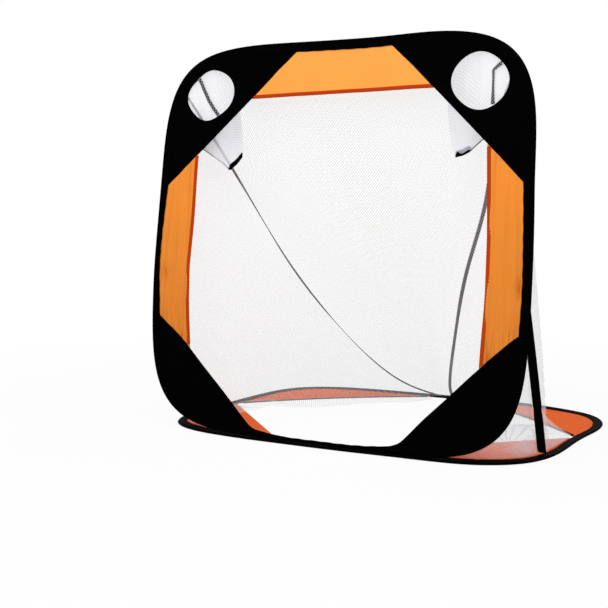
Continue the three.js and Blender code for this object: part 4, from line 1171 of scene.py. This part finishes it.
def net_cloth(name, grid):
    """A net from its grid of knots, which lie on the flat cut as they are measured along the threads"""
    rows, columns = grid.shape[0] - 1, grid.shape[1] - 1
    across = np.linalg.norm(np.diff(grid, axis=1), axis=2)
    down = np.linalg.norm(np.diff(grid, axis=0), axis=2)
    flat_x = np.concatenate([np.zeros((rows + 1, 1)), np.cumsum(across, axis=1)], axis=1)
    flat_y = np.concatenate([np.zeros((1, columns + 1)), np.cumsum(down, axis=0)], axis=0)
    cut = np.stack([flat_x - flat_x[:, -1:] / 2, flat_y], axis=2)

    def lay(u, v):
        i, j = nearest(1 - v, rows), nearest(u, columns)
        return grid[i, j], cut[i, j]

    return cloth(name, columns, rows, lay)


def hang_between(piece, material, slot, *nodes):
    """What hangs between the hoops opens and closes like a fan. Here a piece of it gets its material and its
    place baked into its mesh, and the parts that it stands for are hidden"""
    piece.data.materials.clear()
    piece.data.materials.append(material)
    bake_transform(piece)
    if nodes:
        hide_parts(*nodes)


seam = seam_course(net_rows + 1)
side_grids = {}
for side, hand in sides:
    hoop_edge = front_edge(seam_start_degrees - 1, foot_degrees, net_rows + 1, side)
    grid = between(hoop_edge, seam + net_seam, side_columns)
    grid[-1] = even_line(side_foot(hoop_edge[-1], side), side_columns + 1)
    side_grids[side] = crumple(relax(grid, hold_fold(grid)), side) * (side, 1, 1)
    side_net = net_cloth(f"side_net_{hand}", side_grids[side])
    hang_between(side_net, white_net, "white_mesh", f"net_{hand}")

grid = between((seam - net_seam) * (-1, 1, 1), seam - net_seam, back_columns)
grid[0] = front_edge(180 - seam_start_degrees, seam_start_degrees, back_columns + 1)
back_net = net_cloth("back_net", relax(grid))
hang_between(back_net, white_net, "white_mesh", "net_back")

# Net gathers
# The front hoop draws the foot of each side net together. The slack is bunched there in a fan of
# small pleats, sewn to the net.
# Shares of the way down the side net and across it
gather_heart = np.array([0.966, 0.184])
gather_rim = np.array([(0.988, 0.125), (0.950, 0.120), (0.900, 0.122), (0.912, 0.185), (0.940, 0.285),
                       (0.993, 0.235)])
gather_pleats = 8
gather_columns, gather_rows = 192, 14


def on_net(grid, down, out):
    """Points of a net's grid at shares of the way down it and across it"""
    row, column = down * net_rows, out * side_columns
    i, j = np.floor(row).astype(int), np.floor(column).astype(int)
    a, b = (row - i)[:, None], (column - j)[:, None]
    return ((grid[i, j] * (1 - b) + grid[i, j + 1] * b) * (1 - a)
            + (grid[i + 1, j] * (1 - b) + grid[i + 1, j + 1] * b) * a)


for side, hand in sides:
    def lay_gather(u, v):
        # Each pleat doubles back on itself, so that three layers of mesh lie over each other
        turn = 2 * np.pi * gather_pleats * u
        at = np.clip(u + 0.045 * np.sin(turn + side) * np.sin(np.pi * u), 0, 1) * (len(gather_rim) - 1)
        rim = points(*(np.interp(at, np.arange(len(gather_rim)), part) for part in gather_rim.T))
        reach = (0.05 + 0.95 * v) * (1 + 0.10 * np.sin(turn * 0.37 + 2))
        place = gather_heart + reach[:, None] * (rim - gather_heart)
        lift = 0.002 + 0.0035 * v * (1 + np.cos(turn + side))
        return (on_net(side_grids[side], *place.T) + points(side * lift, -0.5 * lift, 0.5 * lift),
                points(u * 0.30, v * 0.07))

    gather = cloth(f"net_gather_{hand}", gather_columns, gather_rows, lay_gather)
    hang_between(gather, white_net, "white_mesh")

# Net skirt
# The slack at the foot of the side nets lies on the ground inside the seams in a loose strip of the
# same mesh.
skirt_columns, skirt_rows = 140, 14
# The strip's two edges on the ground. The outer one goes on along the bowed seam
skirt_outer = [(0.560, 0.140), (0.597, 0.270), (0.601, 0.410), (0.600, 0.488)]
skirt_inner = [(0.470, 0.200), (0.486, 0.290), (0.488, 0.387), (0.471, 0.516), (0.378, 0.517),
               (0.245, 0.645), (0.177, 0.754), (0.082, 0.808), (0.026, 0.915)]
outer = even_line(np.concatenate([skirt_outer, bowed_seam(foot_points)]), skirt_columns + 1)
inner = even_line(skirt_inner, skirt_columns + 1)
for side, hand in sides:
    def lay_skirt(u, v):
        k = nearest(u, skirt_columns)
        x, y = (outer[k] * (1 - v)[:, None] + inner[k] * v[:, None]).T
        slack = np.sin(np.pi * v) ** 0.7
        wave = ripple(u, 0.10, 2.0 + side) * 0.5 + 0.5
        height = 0.0075 - 0.0035 * v + 0.010 * slack * wave + 0.003 * slack * ripple(u, 0.037, 5.0 + side)
        drift = 0.006 * ripple(u, 0.13, 8.0 + side) * v
        return points(side * (x + drift), y + drift, height), points(u * 1.25, v * 0.14)

    skirt = cloth(f"net_skirt_{hand}", skirt_columns, skirt_rows, lay_skirt)
    dress(skirt, white_net, "base_frame", "white_mesh")

# Seam tapes
# Where the net panels meet, a woven tape covers the seam. The white mesh over it gives it a dotted
# grey look.
tape_width, tape_wall = 0.012, 0.0012
tape_steps = 220
tape_material = tape_under_mesh("seam_tape_under_mesh", (0.42, 0.42, 0.44, 1), (0.016, 0.016, 0.017, 1))
# Each tape is gathered up in places, so that it shows narrower: shares of its length and its width
tape_gathers = {1: [(0.0, 1.0), (0.50, 0.95), (0.60, 0.75), (0.68, 0.85), (1.0, 0.95)],
                -1: [(0.0, 0.80), (0.20, 0.75), (0.24, 0.46), (0.30, 0.32), (0.34, 0.22), (0.39, 0.40),
                     (0.43, 0.50), (0.49, 0.66), (0.56, 0.70), (0.61, 0.30), (0.65, 0.26), (0.70, 0.42),
                     (0.76, 0.62), (1.0, 0.8)]}


def unit(vectors):
    return vectors / np.linalg.norm(vectors, axis=1)[:, None]


tape_line = seam_course(tape_steps + 1)
tape_along = unit(np.gradient(tape_line, axis=0))
tape_across = unit(np.array([1.0, 0, 0]) - tape_along * tape_along[:, :1])
tape_length = run(tape_line)[-1]
for side, hand in sides:
    def lay_tape(u, v):
        k = nearest(v, tape_steps)
        roll = (0.35 * np.sin(9 * v + side))[:, None]
        out = tape_across[k] * np.cos(roll) + np.cross(tape_along[k], tape_across[k]) * np.sin(roll)
        shown = soft_line(tape_gathers[side], v)
        place = tape_line[k] + out * ((u - 0.5) * tape_width * shown)[:, None]
        return place * (side, 1, 1), points(u * tape_width, v * tape_length)

    tape = thicken(cloth(f"seam_tape_cloth_{hand}", tape_columns, tape_steps, lay_tape), tape_wall)
    hang_between(tape, tape_material, "grey_tape", f"seam_tape_{hand}")

# Side straps
# A black webbing strap ties each side of the front hoop to the base and stops it from leaning
# further. Its lower end is doubled and sewn.
strap_width, strap_wall, strap_length = 0.025, 0.0016, 0.45
strap_columns, strap_rows = 6, 90
strap_top = front_place(np.array([0.597]), np.array([0.420]), np.array([-0.0055]))[0]
strap_foot = np.array([0.600, 0.201, 0.0125])
webbing = fabric("strap_webbing", black_shade, roughness=0.7, specular=0.015, thread=0.0016, relief=0.5)
for side, hand in sides:
    def lay_strap(u, v):
        x, y, z = (strap_foot + v[:, None] * (strap_top - strap_foot)).T
        edge = (u - 0.5) * strap_width * (1 - 0.10 * np.exp(-((v - 0.30) / 0.03) ** 2))
        bow = 0.004 * np.sin(np.pi * v)
        return points(side * (x + edge), y + bow, z), points(u * strap_width, v * strap_length)

    strap = thicken(cloth(f"strap_cloth_{hand}", strap_columns, strap_rows, lay_strap), strap_wall)
    hang_between(strap, webbing, "black_webbing", f"strap_{hand}")
